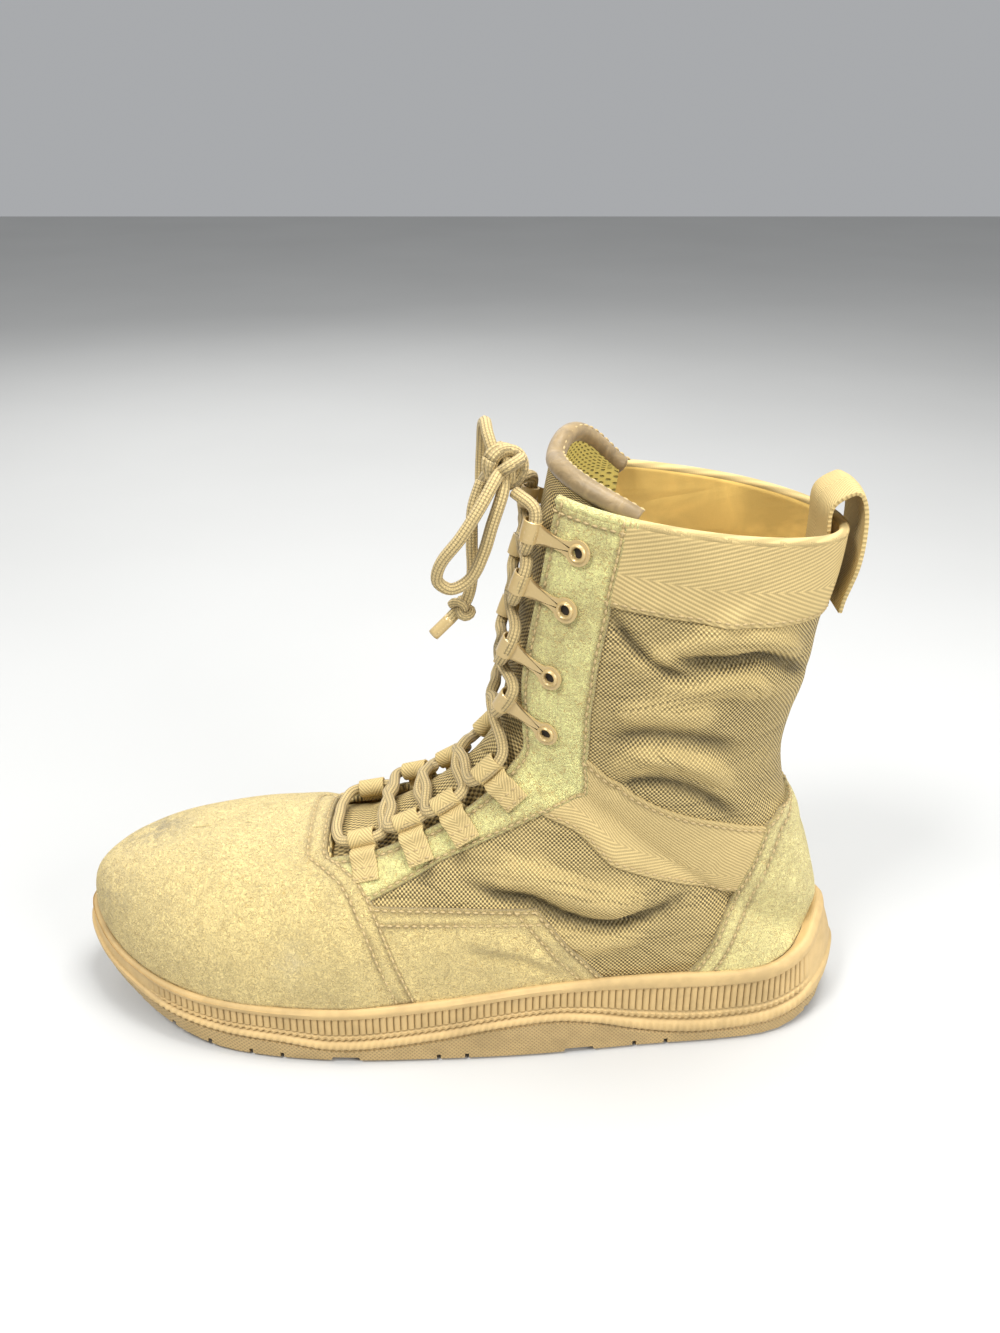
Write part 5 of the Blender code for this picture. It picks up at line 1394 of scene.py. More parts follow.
class BOOT_OT_stage(bpy.types.Operator):
    """Set the camera at the photograph's angle, with a pale floor and soft lights"""

    bl_idname = "boot.stage"
    bl_label = "Stage"

    def execute(self, context):
        scene = context.scene
        lens = bpy.data.cameras.new("camera")
        lens.lens = 29.7
        lens.sensor_width = 36
        lens.clip_start = 0.01
        camera = bpy.data.objects.new("camera", lens)
        camera.location = (0.016, -0.36075, 0.338)
        camera.rotation_euler = (math.radians(62), 0, 0)
        scene.collection.objects.link(camera)
        scene.camera = camera
        bm = bmesh.new()
        bmesh.ops.create_grid(bm, x_segments=8, y_segments=8, size=3.0)
        mesh = bpy.data.meshes.new("floor")
        bm.to_mesh(mesh)
        bm.free()
        floor = bpy.data.objects.new("floor", mesh)
        floor.data.materials.append(bpy.data.materials["studio_floor"])
        scene.collection.objects.link(floor)
        for name, place, size, power in (
            ("light_key", (-0.50, -0.50, 1.20), 0.32, 12.5),
            ("light_top", (0.20, 0.05, 1.20), 0.45, 11.5),
            ("light_fill", (0.95, -0.70, 0.70), 0.7, 12.0),
            ("light_back", (-0.30, 0.95, 0.80), 0.8, 4.0),
        ):
            lamp = bpy.data.lights.new(name, "AREA")
            lamp.size = size
            lamp.energy = power
            made = bpy.data.objects.new(name, lamp)
            made.location = place
            aim = Vector((0, 0, 0.08)) - Vector(place)
            made.rotation_euler = aim.to_track_quat("-Z", "Y").to_euler()
            scene.collection.objects.link(made)
        world = bpy.data.worlds.new("studio")
        world.use_nodes = True
        world.node_tree.nodes["Background"].inputs["Color"].default_value = (0.90, 0.92, 0.95, 1)
        world.node_tree.nodes["Background"].inputs["Strength"].default_value = 0.44
        scene.world = world
        scene.view_settings.view_transform = "Standard"
        return {"FINISHED"}


KNOT_WRAP = 0.0026
KNOT_DEPTH = 0.0023
STOPPER_WRAP = 0.00135
STOPPER_DEPTH = 0.0016
LACE_SHOWS = LACE / 2


def knot_frame():
    """The knot's own axes: it lies flat against the tongue, facing forward and up."""
    face = Vector((-0.80, -0.35, 0.45)).normalized()
    side = face.cross(Vector((0, 0, 1))).normalized()
    return side, side.cross(face).normalized(), face


def overhand(middle, axes, count, wide, tall, deep):
    """A closed round of cord that crosses itself three times, as a simple knot does."""
    side, up, face = axes
    turn = np.linspace(0, math.tau, count)
    return (
        middle
        + np.outer(wide * (np.sin(turn) + 2 * np.sin(2 * turn)), side)
        + np.outer(tall * (np.cos(turn) - 2 * np.cos(2 * turn)), up)
        + np.outer(-deep * np.sin(3 * turn), face)
    )


class BOOT_OT_lace(bpy.types.Operator):
    """Run the lace through tabs and hooks, and tie it in a bow with two ends"""

    bl_idname = "boot.lace"
    bl_label = "Lace"

    def execute(self, context):
        places = holders()
        knot = knot_middle()
        routes = [np.array(run_route(side, places, knot)) for side in ("lateral", "medial")]
        whole = np.concatenate([routes[0][::-1], routes[1][1:]])
        corded("lace_run", [whole], LACE_SHOWS, "lace", "lace_braid", "lace_crossings")
        side, up, face = (np.array(axis) for axis in knot_frame())
        turn = np.linspace(0, math.tau, 60)
        wrap = overhand(knot, (side, up, face), 60, KNOT_WRAP, KNOT_WRAP * 0.86, KNOT_DEPTH)
        rings = []
        for shift, tall, deep in ((-0.0021, 0.0058, 0.0050), (0.0022, 0.0052, 0.0046)):
            tilt = np.outer(np.cos(turn) * 0.0014 + shift, side)
            rise, fall = np.outer(tall * np.sin(turn), up), np.outer(deep * np.cos(turn), face)
            rings.append(knot + tilt + rise + fall)
        wraps = [wrap, *rings]
        tied, _ = corded("lace_bow_knot", wraps, LACE_SHOWS * 0.97, "lace", "lace_braid", "lace_knot")
        loops = (
            ("bow_loop_lateral", LATERAL_BOW, "lace_bow_lateral", "object"),
            ("bow_loop_medial", MEDIAL_BOW, "lace_bow_medial", "object"),
            ("hanging_end_lateral", LATERAL_END, "lace_end_lateral", "knot"),
            ("hanging_end_medial", MEDIAL_END, "lace_end_medial", "knot"),
        )
        for name, offsets, node, far_end in loops:
            route = np.array(offsets) + knot
            if far_end == "object":
                start, end = knot + 0.45 * route[0] - 0.45 * knot, knot + 0.45 * (route[-1] - knot)
                route = np.concatenate([[start], route, [end]])
            piece, line = corded(name, [route], LACE_SHOWS, "lace", "lace_braid", node)
            pieces = [tied] if name == "bow_loop_lateral" else []
            if far_end == "knot":
                pieces = self.end_pieces(name, line)
        return {"FINISHED"}

    def end_pieces(self, name, line):
        """A small stopper knot near the end and a sleeve of painted steel on its tip."""
        tip, way = line[-1], line[-1] - line[-4]
        way = way / np.linalg.norm(way)
        at = line[-1] - way * 0.013
        side = np.cross(way, (0.2, 0.9, 0.1))
        side /= np.linalg.norm(side)
        up = np.cross(way, side)
        wrap = overhand(at, (side, up, way), 40, STOPPER_WRAP, STOPPER_WRAP, STOPPER_DEPTH)
        stopper, _ = corded("stopper_" + name, [wrap], LACE_SHOWS * 0.72, "lace", "lace_braid", around=12)
        sleeve = [tip - way * 0.0075, tip - way * 0.004, tip - way * 0.0005, tip + way * 0.0012]
        sleeved, _ = corded(
            "tip_" + name, [sleeve], LACE_SHOWS * 1.04, "lace", "painted_steel", around=14, lobes=0
        )
        return [stopper, sleeved]


def quarter_rows(step):
    """Places along the base line for the quarters' sections, closest together round the heel."""
    side = np.linspace(THROAT_BASE, 0.82, round(0.085 / step), endpoint=False)
    heel = np.linspace(0.82, 1.0, round(0.045 / step), endpoint=False)
    back = np.linspace(1.0, 1.5, round(0.085 / step), endpoint=False)
    return np.concatenate([side, heel, back, np.linspace(1.5, 2.0, round(0.075 / step))])


class BOOT_OT_upper(bpy.types.Operator):
    """Lay the woven nylon body over the last, with its creases and lining"""

    bl_idname = "boot.upper"
    bl_label = "Nylon upper"

    def execute(self, context):
        step = context.scene.boot_sizes.cloth_step
        sheets = []
        for last in lasts.values():
            edge = last.throat(THROAT_BASE)
            below, above = np.linspace(0, 1, 60), np.linspace(0, 1, 14)[1:]
            columns = np.concatenate([edge * below, edge + (1 - edge) * above])
            bases = THROAT_BASE * np.linspace(0, 1, 56)
            base, across = np.meshgrid(bases, columns, indexing="ij")
            sheets.append((on_last(last, base, across, 0.0), unrolled(last.at(base, across))))
            bases = quarter_rows(step)
            tops = np.array([last.throat(b) for b in bases])
            across = tops[:, None] * np.linspace(0, 1, 60)
            base = np.broadcast_to(bases[:, None], across.shape)
            covered = np.interp(bases, *edge_in_base(last, COUNTER_FRONT))[:, None] - across
            inside = np.clip((covered - 0.03) / 0.05, 0, 1) * np.clip((1.34 - base) / 0.06, 0, 1)
            points = on_last(last, base, across, -COUNTER_TUCK * inside * np.clip((base - 0.80) / 0.06, 0, 1))
            sheets.append((points, creased(last, last.at(base, across))))
        sewn("nylon_upper", sheets, "nylon", ["nylon_woven", "lining_micro"], "upper", UPPER_WALL, 1)
        return {"FINISHED"}


def smooth_edge(edge, across):
    """Places along the base line of an edge, at across values."""
    return smooth(edge[:, 0], edge[:, 1], across.ravel()).reshape(across.shape)


def vamp_places(last, rows, columns):
    """Base and across values of the vamp's suede, from behind the rim to the ridge."""
    edge = np.array(VAMP_BACK)
    bases = np.linspace(0, 0.48, 200)
    rims = np.array([last.rim_across(base) for base in bases])
    first = bases[np.argmax(rims < 1) - 1]
    across = np.broadcast_to(columns[None, :], (len(rows), len(columns)))
    for _ in range(6):
        limit = smooth_edge(edge, across)
        base = first + (limit - first) * rows[:, None]
        rim = np.maximum(np.interp(base, bases, rims) - 0.03, 0)
        across = rim + (1 - rim) * columns[None, :]
    return base, across


class BOOT_OT_suede(bpy.types.Operator):
    """Cut the suede: vamp, side panels, eyestays and heel counter"""

    bl_idname = "boot.suede"
    bl_label = "Suede"

    def execute(self, context):
        step = context.scene.boot_sizes.cloth_step
        self.vamp(step)
        self.counter(step)
        for name, last in lasts.items():
            self.side(name, last, step)
            self.eyestay(name, last, step)
        return {"FINISHED"}

    def vamp(self, step):
        sheets = []
        for last in lasts.values():
            columns = np.linspace(0, 1, round(0.088 / step))
            base, across = vamp_places(last, finer(step, 0.105, end=True), columns)
            seams = (("last_row", 0.0016), ("last_row", 0.0078))
            sheets.append(panel(last, base, across, OVER_SUEDE, ("last_row",), seams))
        sewn("suede_vamp", sheets, "suede", ["suede_napped"], "vamp_suede", OVER_SUEDE_WALL)

    def counter(self, step):
        sheets = []
        for last in lasts.values():
            bases, across = edge_in_base(last, COUNTER_FRONT)
            top = float(np.interp(COUNTER_EDGE["level"][-1], BACK["level"], BACK["base"]))
            bases, across = np.append(bases, top), np.append(across, 0.0)
            order = bases.argsort()
            rows = quarter_rows(step)
            rows = rows[(rows > bases.min()) & (rows < 1.25)]
            places = np.concatenate([[bases.min()], rows, np.linspace(1.25, top - 0.001, 30)])
            low = np.maximum(np.array([last.rim_across(base) for base in places]) - 0.03, 0)
            high = np.maximum(np.interp(places, bases[order], across[order]), low + 0.002)
            share = finer(step, 0.050, end=True)
            across = low[:, None] + (high - low)[:, None] * share
            base = np.broadcast_to(places[:, None], across.shape)
            seams = (("last_column", 0.0016), ("last_column", 0.0080))
            points, cloth = panel(last, base, across, OVER_SUEDE, ("last_column",), seams)
            ease = 0.5 * np.exp(-(((places - 0.995) / 0.055) ** 2))[1:-1, None, None]
            for _ in range(60):
                points[1:-1] += ((points[:-2] + points[2:]) / 2 - points[1:-1]) * ease
            sheets.append((points, cloth))
        sewn("suede_counter", sheets, "suede", ["suede_heel"], "heel_counter", OVER_SUEDE_WALL)

    def side(self, name, last, step):
        along = np.linspace(*SIDE_SUEDE_FOOT_SHOWN, 8)
        rim = SOLE_HEIGHT * read(RIM, "height", along) - 0.0030
        foot = {"along": along, "level": (rim - SOLE_HEIGHT) / (INSTEP_HEIGHT - SOLE_HEIGHT)}
        coarse = np.array(patch(last, foot, SIDE_SUEDE_TOP_SHOWN, 10, 20))
        base, across = refined(coarse, finer(step, 0.030, end=True), finer(step, 0.070, end=True))
        seams = (("last_row", 0.0016), ("last_row", 0.0075), ("last_column", 0.0016), ("last_column", 0.0090))
        points = panel(last, base, across, SUEDE_SHOWS, ("last_row", "last_column"), seams)
        sewn(f"suede_side_{name}", [points], "suede", ["suede_napped"], f"side_suede_{name}", SUEDE_WALL)

    def eyestay(self, name, last, step):
        base_knots, across_knots = edge_in_base(last, EYESTAY_EDGE)
        start = THROAT_BASE - 0.004
        bases = start + (2 - start) * finer(step, 0.165, end=True)
        low = np.interp(bases, base_knots, across_knots)
        high = np.array([last.throat(b) for b in bases]) - 0.001
        across = low[:, None] + (high - low)[:, None] * finer(step, 0.028, start=True, end=True)
        base = np.broadcast_to(bases[:, None], across.shape)
        seams = (("first_column", 0.0016), ("last_column", 0.0030), ("last_row", 0.0030))
        points = panel(last, base, across, SUEDE_SHOWS, ("first_column", "last_column", "last_row"), seams)
        sewn(f"suede_eyestay_{name}", [points], "suede", ["suede_worn"], f"eyestay_{name}", SUEDE_WALL)


def refined(coarse, rows, columns):
    """Base and across values read between a coarse grid of them, at shares of its rows and columns."""
    ticks = np.linspace(0, 1, coarse.shape[0])
    dense = np.stack([smooth(ticks, coarse[:, j, k], rows) for k in (0, 1) for j in range(coarse.shape[1])])
    dense = dense.reshape(2, coarse.shape[1], len(rows))
    ticks = np.linspace(0, 1, coarse.shape[1])
    found = [np.array([smooth(ticks, dense[k, :, i], columns) for i in range(len(rows))]) for k in (0, 1)]
    return found[0], found[1]


class BOOT_OT_tape(bpy.types.Operator):
    """Sew the herringbone tape: ankle tapes, collar tape and the collar's rolled rim"""

    bl_idname = "boot.tape"
    bl_label = "Tape"

    def execute(self, context):
        step = context.scene.boot_sizes.cloth_step
        for name, last in lasts.items():
            coarse = np.array(patch(last, TAPE_LOWER_SHOWN, TAPE_UPPER_SHOWN, 8, 22))
            base, across = refined(coarse, finer(step, 0.020, start=True, end=True), np.linspace(0, 1, 64))
            seams = (("first_row", 0.0020), ("last_row", 0.0020))
            points = panel(last, base, across, TAPE_SHOWS, ("first_row", "last_row"), seams, "turned")
            sewn(f"tape_ankle_{name}", [points], "tape", ["tape_ankle"], f"ankle_tape_{name}", TAPE_WALL)
        sheets = []
        for last in lasts.values():
            knots = edge_in_base(last, EYESTAY_EDGE)
            share = np.linspace(0, 1, 64)
            tall = finer(step, COLLAR_TAPE_HEIGHT, start=True)
            base = np.full((len(tall), len(share)), 2.0)
            bases = np.linspace(1.3, 2, 90)
            for _ in range(4):
                across = share * (np.interp(base, *knots) + 0.03)
                for j in range(len(share)):
                    heights = last.at(bases, across[-1, j])[:, 2]
                    drop = heights[-1] - COLLAR_TAPE_HEIGHT * (1 - tall)
                    base[:, j] = np.interp(drop, heights, bases)
            points = panel(last, base, across, TAPE_SHOWS, ("first_row",), (("first_row", 0.0020),), "turned")
            sheets.append(points)
        sewn("tape_collar", sheets, "tape", ["tape_collar"], "collar_tape", TAPE_WALL)
        self.rim("collar_rim_tape", 0.0, 1.0, "tape", "tape_rim")
        self.rim("collar_rim_suede_lateral", 0.97, None, "suede", "suede_worn", "lateral")
        self.rim("collar_rim_suede_medial", 0.97, None, "suede", "suede_worn", "medial")
        return {"FINISHED"}

    def rim(self, title, start, end, slot, finish_name, only=None):
        """A rolled edge over the collar's top, between two shares of the way to the eyestay's back edge."""
        way = []
        for name, last in lasts.items():
            if only and name != only:
                continue
            stay = float(np.interp(2.0, *edge_in_base(last, EYESTAY_EDGE)))
            last_across = last.throat(2.0) if end is None else stay * end
            across = np.linspace(stay * start, last_across, 60)
            line = on_last(last, 2.0, across, np.full(60, -UPPER_WALL / 2 + 0.0006))
            way.append(line if name == "medial" or only else line[::-1])
        route = np.concatenate([way[0], way[1][1:]]) if len(way) > 1 else way[0]
        route = route + (0, 0, 0.0003)
        corded(title, [route], RIM_ROLL, slot, finish_name, step=0.0016, around=14, lobes=0)


class BOOT_OT_tongue(bpy.types.Operator):
    """Shape the padded tongue, its satin binding and its mesh lining"""

    bl_idname = "boot.tongue"
    bl_label = "Tongue"

    def execute(self, context):
        under = UPPER_WALL + TONGUE_CLEARANCE
        start = THROAT_BASE - 0.035
        bases = start + (2 - start) * np.linspace(0, 1, 90)
        wing = np.interp(bases, (start, 0.6, 1.2, 2.0), (0.0245, 0.0275, 0.030, 0.0315))
        sheets, rims = [], []
        for last in lasts.values():
            rows = []
            for base, half in zip(bases, wing):
                low = last.across_at_side(base, half)
                rows.append(last.raised(base, np.linspace(low, 1, 22), -under))
            top = rows[-1]
            share = np.linspace(0, 1, 22)
            if last.side == LATERAL:
                crown = 0.10 + 0.50 * np.sin(share * math.pi / 2) ** 0.8
            else:
                crown = 0.10 + 0.50 * share + 0.60 * np.sin(share * math.pi) ** 1.2
            up = last.front(2.0) - last.front(1.9)
            up /= np.linalg.norm(up)
            for step in np.linspace(0, 1, 10)[1:]:
                rows.append(top + (TONGUE_RISE * step * crown)[:, None] * up + (0, 0, 0.0002 * step))
            rows = np.array(rows)
            run = np.cumsum(np.full(rows.shape[:2], TONGUE_ROW), axis=0)
            flat = np.stack([rows[..., 1], run, rows[..., 1] * 0], axis=-1)
            sheets.append((rows, flat * 1000))
            rims.append(rows[-1])
        finishes = ["nylon_woven", "spacer_mesh"]
        sewn("tongue_body", sheets, "lining", finishes, "tongue", TONGUE_THICKNESS, 1, merge=3e-4)
        inward = np.array((1.0, 0, 0)) * TONGUE_THICKNESS / 2
        route = np.concatenate([rims[0], rims[1][::-1][1:]])
        route = route + inward + (0, 0, -0.0010)
        corded("tongue_binding", [route], BINDING_ROLL, "lining", "satin", step=0.0012, around=20, lobes=0)
        out = np.array((0.73, 0.0, 0.68))
        SEAMS.append((route + out * BINDING_ROLL, np.broadcast_to(out, route.shape)))
        return {"FINISHED"}


class BOOT_OT_pull_loop(bpy.types.Operator):
    """Fold the pull loop of tape over the back of the collar"""

    bl_idname = "boot.pull_loop"
    bl_label = "Pull loop"

    def execute(self, context):
        back = lasts["lateral"].base
        collar, foot = back(np.array(2.0)), back(np.array(1.85))
        inside = -UPPER_WALL - GAP - LOOP_THICKNESS / 2 - LOOP_SAG
        outside = OVERLAY_GAP + TAPE + GAP + LOOP_THICKNESS / 2
        route = [
            (collar[0] + inside - 0.0004, collar[2] - 0.014),
            (collar[0] + inside, collar[2] - 0.002),
            (collar[0] + inside + 0.0004, collar[2] + 0.009),
            (collar[0] - 0.0006, collar[2] + 0.0142),
            (collar[0] + 0.0024, collar[2] + 0.0130),
            (collar[0] + 0.0042, collar[2] + 0.0075),
            (collar[0] + 0.0046, collar[2] - 0.0020),
            (collar[0] + 0.0038, collar[2] - 0.0120),
            (foot[0] + outside + 0.0012, foot[2] + 0.0040),
            (foot[0] + outside + 0.0006, foot[2] - 0.0015),
        ]
        line = resampled([(x, -MIDDLE, z) for x, z in route], 0.0010)
        ahead = np.gradient(line, axis=0)
        ahead /= np.linalg.norm(ahead, axis=1)[:, None]
        out = np.cross(ahead, (0.0, 1.0, 0.0))
        across = finer(0.0012, LOOP_WIDTH, start=True, end=True) * 2 - 1
        run = np.linspace(0, 1, len(line))
        cup = 0.0012 * np.sin(run * math.pi)
        rows = line[:, None] + across[None, :, None] * np.array((0, LOOP_WIDTH / 2, 0))
        rows = rows + out[:, None] * (cup[:, None] * (1 - across[None] ** 2) - 0.0004)[..., None]
        swing = 0.0016 * np.sin(run * math.pi * 2)
        rows[..., 1] += swing[:, None]
        length = run_along(line)
        wide = (across[None] + 1) * LOOP_WIDTH / 2
        place = np.stack(np.broadcast_arrays(length[:, None], wide, 0.0), axis=-1) * 1000
        thick = LOOP_THICKNESS * 0.8
        piece = sewn("tape_pull_loop", [(rows, place)], "tape", ["tape_narrow"], "pull_loop", thick, offset=0)
        soft_edges(piece, 0.0005)
        return {"FINISHED"}


def midsole_profile(share, phase, ribbed):
    """How far in the midsole's side lies, at a share of its height and a phase of its ribs."""
    groove = np.exp(-(((phase - 0.5) / 0.13) ** 2))
    lean = (phase + share * 1.5) % 1.0
    rope = 0.00030 * np.cos(math.tau * lean)
    swell = np.sin(math.pi * np.clip(share / 0.20, 0, 1))
    ridge = -0.0010 * swell - rope * swell
    cells = 0.0004 + 0.00040 * np.cos(math.tau * ((phase + 0.5) % 1.0))
    ribs = 0.0006 + RIB_DEPTH * 0.8 * groove
    bead = -0.0003 * np.sin(math.pi * np.clip((share - 0.80) / 0.20, 0, 1))
    inward = np.select(
        (share < 0.20, share < 0.245, share < 0.33, share < 0.365, share < 0.77, share < 0.80),
        (ridge, 0.0012, cells, 0.0012, ribs, 0.0010),
        bead,
    )
    plain = np.where((share > 0.22) & (share < 0.80), 0.0005, np.where(share <= 0.22, -0.0005, bead))
    return inward * ribbed + plain * (1 - ribbed)


class BOOT_OT_sole(bpy.types.Operator):
    """Mould the midsole with its fine ribs, and finish the tread and footbed"""

    bl_idname = "boot.sole"
    bl_label = "Sole"

    def execute(self, context):
        pitch = context.scene.boot_sizes.rib_pitch
        round_sole = np.concatenate([LATERAL_LINE, MEDIAL_LINE[::-1]])
        reach = np.linalg.norm(np.diff(round_sole, axis=0), axis=1).sum() / 2
        edge = SoleEdge(6 * round(reach / pitch))
        core = edge.ground + OUTSOLE_CORE
        top = np.maximum(edge.parting, core - 0.001)
        low = top + 2 * GAP
        rise = edge.rim - low
        phase = (np.arange(len(edge.there)) % 6) / 6
        ribbed = np.clip((edge.there - 0.045) / 0.02, 0, 1) * np.clip((0.905 - edge.there) / 0.04, 0, 1)
        heights = [0.0, 0.03, 0.07, 0.11, 0.15, 0.19, 0.205, 0.235, 0.255, 0.285, 0.315, 0.335, 0.36, 0.375]
        heights += [0.45, 0.55, 0.65, 0.72, 0.76, 0.775, 0.80, 0.83, 0.87, 0.92]
        rings, dips = [edge.ring(core, SOLE_WRAP) + (0, 0, 2 * GAP)], [np.zeros(len(phase))]
        for share in heights:
            inward = midsole_profile(share, phase, ribbed) if share > 0 else np.full(len(phase), 0.0007)
            rings.append(edge.ring(low + share * rise, inward))
            # How far in the wall is set here, kept as the cloth's third value for the rubber's painted shade.
            deep = np.clip((inward - 0.0005) / 0.0011, 0, 1)
            dips.append(deep)
        rim = edge.rim
        lip = 0.0006 + 0.0022 * np.clip(1 - edge.there / 0.16, 0, 1)
        for height, inward in (
            (rim - 0.0012, -0.0001),
            (rim - 0.0004, 0.0003),
            (rim, 0.0010),
            (rim, 0.0019),
            (rim - 0.0006, 0.0030),
            (rim - 0.0012, RIM_WALL + lip),
            (rim - 0.0040, RIM_WALL + lip),
            (edge.floor, RIM_WALL),
        ):
            rings.append(edge.rim_ring(height, inward))
            dips.append(np.zeros(len(phase)))
        rings, dips = np.array(rings), np.array(dips)
        closed = np.concatenate([rings, rings[:, :1]], axis=1)
        dips = np.concatenate([dips, dips[:, :1]], axis=1)
        run = np.arange(closed.shape[1])[None] * pitch * 1000 / 6
        place = np.stack(np.broadcast_arrays(run, closed[..., 2] * 1000, dips), axis=-1)
        bm = bmesh.new()
        close_turn(bm, lay_grid(bm, closed, place), closed.shape[1])
        bm.verts.ensure_lookup_table()
        for level in (0, -1):
            ring = closed[level]
            loop = {v for v in bm.verts if v.is_boundary and abs(v.co.z - nearest(ring, v.co)) < 1e-5}
            edges = [e for e in bm.edges if e.is_boundary and loop.issuperset(e.verts)]
            bmesh.ops.triangle_fill(bm, use_beauty=True, use_dissolve=False, edges=edges)
        bmesh.ops.recalc_face_normals(bm, faces=bm.faces)
        mesh = mesh_of(bm, "rubber_midsole", 50)
        add_piece("rubber_midsole", mesh, "rubber", ["rubber_moulded"], "midsole")
        for node, finish_name in (("outsole", "rubber_tread"), ("insole", "lining_micro")):
            for place in frame["nodes"][node].material_slots:
                place.material = bpy.data.materials[finish_name]
        return {"FINISHED"}


def nearest(ring, point):
    """The height of the loop's point that lies nearest to a point."""
    return float(ring[np.argmin(np.hypot(ring[:, 0] - point.x, ring[:, 1] - point.y)), 2])


def round_grommet(radius, turns):
    """Points round the middle of a hook's grommet."""
    return [(radius * math.cos(t) - GROMMET_SETBACK, radius * math.sin(t)) for t in turns]


class BOOT_OT_hooks(bpy.types.Operator):
    """Press the painted steel lace hooks and set them through the eyestays"""

    bl_idname = "boot.hooks"
    bl_label = "Lace hooks"

    def execute(self, context):
        for name, last in lasts.items():
            bm = bmesh.new()
            for base in holder_bases(last)[1]:
                self.add_hook(bm, edge_frame(last, base))
            mesh = mesh_of(bm, "hooks", 40)
            nodes = [f"lace_hook_{name}_{i + 1}" for i in range(len(HOOK_LEVELS))]
            add_piece(f"hooks_{name}", mesh, "metal", ["painted_steel", "hole_shadow"], *nodes)
        return {"FINISHED"}

    def add_hook(self, bm, place):
        new = []
        rise = SUEDE_SHOWS + 0.0003
        round_plate = [math.radians(38 + 284 * i / 18) for i in range(19)]
        outline = round_grommet(PLATE_RADIUS, round_plate)
        neck = -GROMMET_SETBACK + 0.0058
        tip = CHANNEL_FORWARD - 0.0030
        right = [(neck, -0.0021), (tip - 0.0035, -0.0021), (tip - 0.0012, -0.0028), (tip, -0.0037)]
        outline += right + [(x, -y) for x, y in right[::-1]]
        turns = round_plate + [math.radians(-28 + 8 * i) for i in range(8)]
        hole = round_grommet(GROMMET_HOLE * 1.1, turns)
        edges = []
        for loop in (outline, hole):
            verts = [bm.verts.new((x, y, rise)) for x, y in loop]
            new += verts
            edges += [bm.edges.new((verts[i - 1], verts[i])) for i in range(len(verts))]
        bridged = bmesh.ops.bridge_loops(bm, edges=edges)
        grown = bmesh.ops.extrude_face_region(bm, geom=bridged["faces"], use_keep_orig=True)
        top = [item for item in grown["geom"] if isinstance(item, bmesh.types.BMVert)]
        bmesh.ops.translate(bm, verts=top, vec=(0, 0, HOOK_SHEET))
        new += top
        dark = bmesh.ops.create_circle(
            bm, cap_ends=True, segments=20, radius=GROMMET_HOLE * 1.15,
            matrix=Matrix.Translation((-GROMMET_SETBACK, 0, SUEDE_SHOWS + 0.0002)),
        )["verts"]
        for face in {face for vert in dark for face in vert.link_faces}:
            face.material_index = 1
        new += dark
        lift = rise + HOOK_SHEET
        profiles = (
            (
                (-GROMMET_SETBACK, 0, 0), Matrix.Identity(4),
                [
                    (GROMMET_HOLE, -0.0012),
                    (GROMMET_HOLE + 0.0001, lift + 0.0002),
                    (GROMMET_HOLE + 0.0004, lift + 0.0007),
                    (0.0026, lift + 0.0009),
                    (0.0031, lift + 0.0005),
                    (0.0033, lift - 0.0002),
                    (0.0026, -0.0012),
                ],
            ),
            (
                (CHANNEL_FORWARD, 0, CHANNEL_OUT), Matrix.Rotation(math.pi / 2, 4, "X"),
                [
                    (LACE / 2 + 0.0005, -HOOK_LENGTH / 2 + 0.0002), (LACE / 2 + 0.0008, -HOOK_LENGTH / 2),
                    (LACE / 2 + 0.0012, -HOOK_LENGTH / 2 + 0.0002), (LACE / 2 + 0.0013, 0.0),
                    (LACE / 2 + 0.0012, HOOK_LENGTH / 2 - 0.0002), (LACE / 2 + 0.0008, HOOK_LENGTH / 2),
                    (LACE / 2 + 0.0005, HOOK_LENGTH / 2 - 0.0002),
                ],
            ),
        )
        for middle, turn, profile in profiles:
            verts = [bm.verts.new((radius, 0, height)) for radius, height in profile]
            edges = [bm.edges.new((verts[i - 1], verts[i])) for i in range(len(verts))]
            bmesh.ops.spin(
                bm, geom=verts + edges, cent=(0, 0, 0), axis=(0, 0, 1),
                angle=math.tau, steps=SPIN_STEPS, use_merge=True,
            )
            reach = set()
            front = list(verts)
            while front:
                vert = front.pop()
                if vert in reach:
                    continue
                reach.add(vert)
                front += [e.other_vert(vert) for e in vert.link_edges]
            bmesh.ops.remove_doubles(bm, verts=list(reach), dist=1e-6)
            ring = [v for v in reach if v.is_valid]
            bmesh.ops.transform(bm, matrix=Matrix.Translation(middle) @ turn, verts=ring)
            new += ring
        bmesh.ops.transform(bm, matrix=place, verts=list(dict.fromkeys(v for v in new if v.is_valid)))
        bmesh.ops.recalc_face_normals(bm, faces=bm.faces)


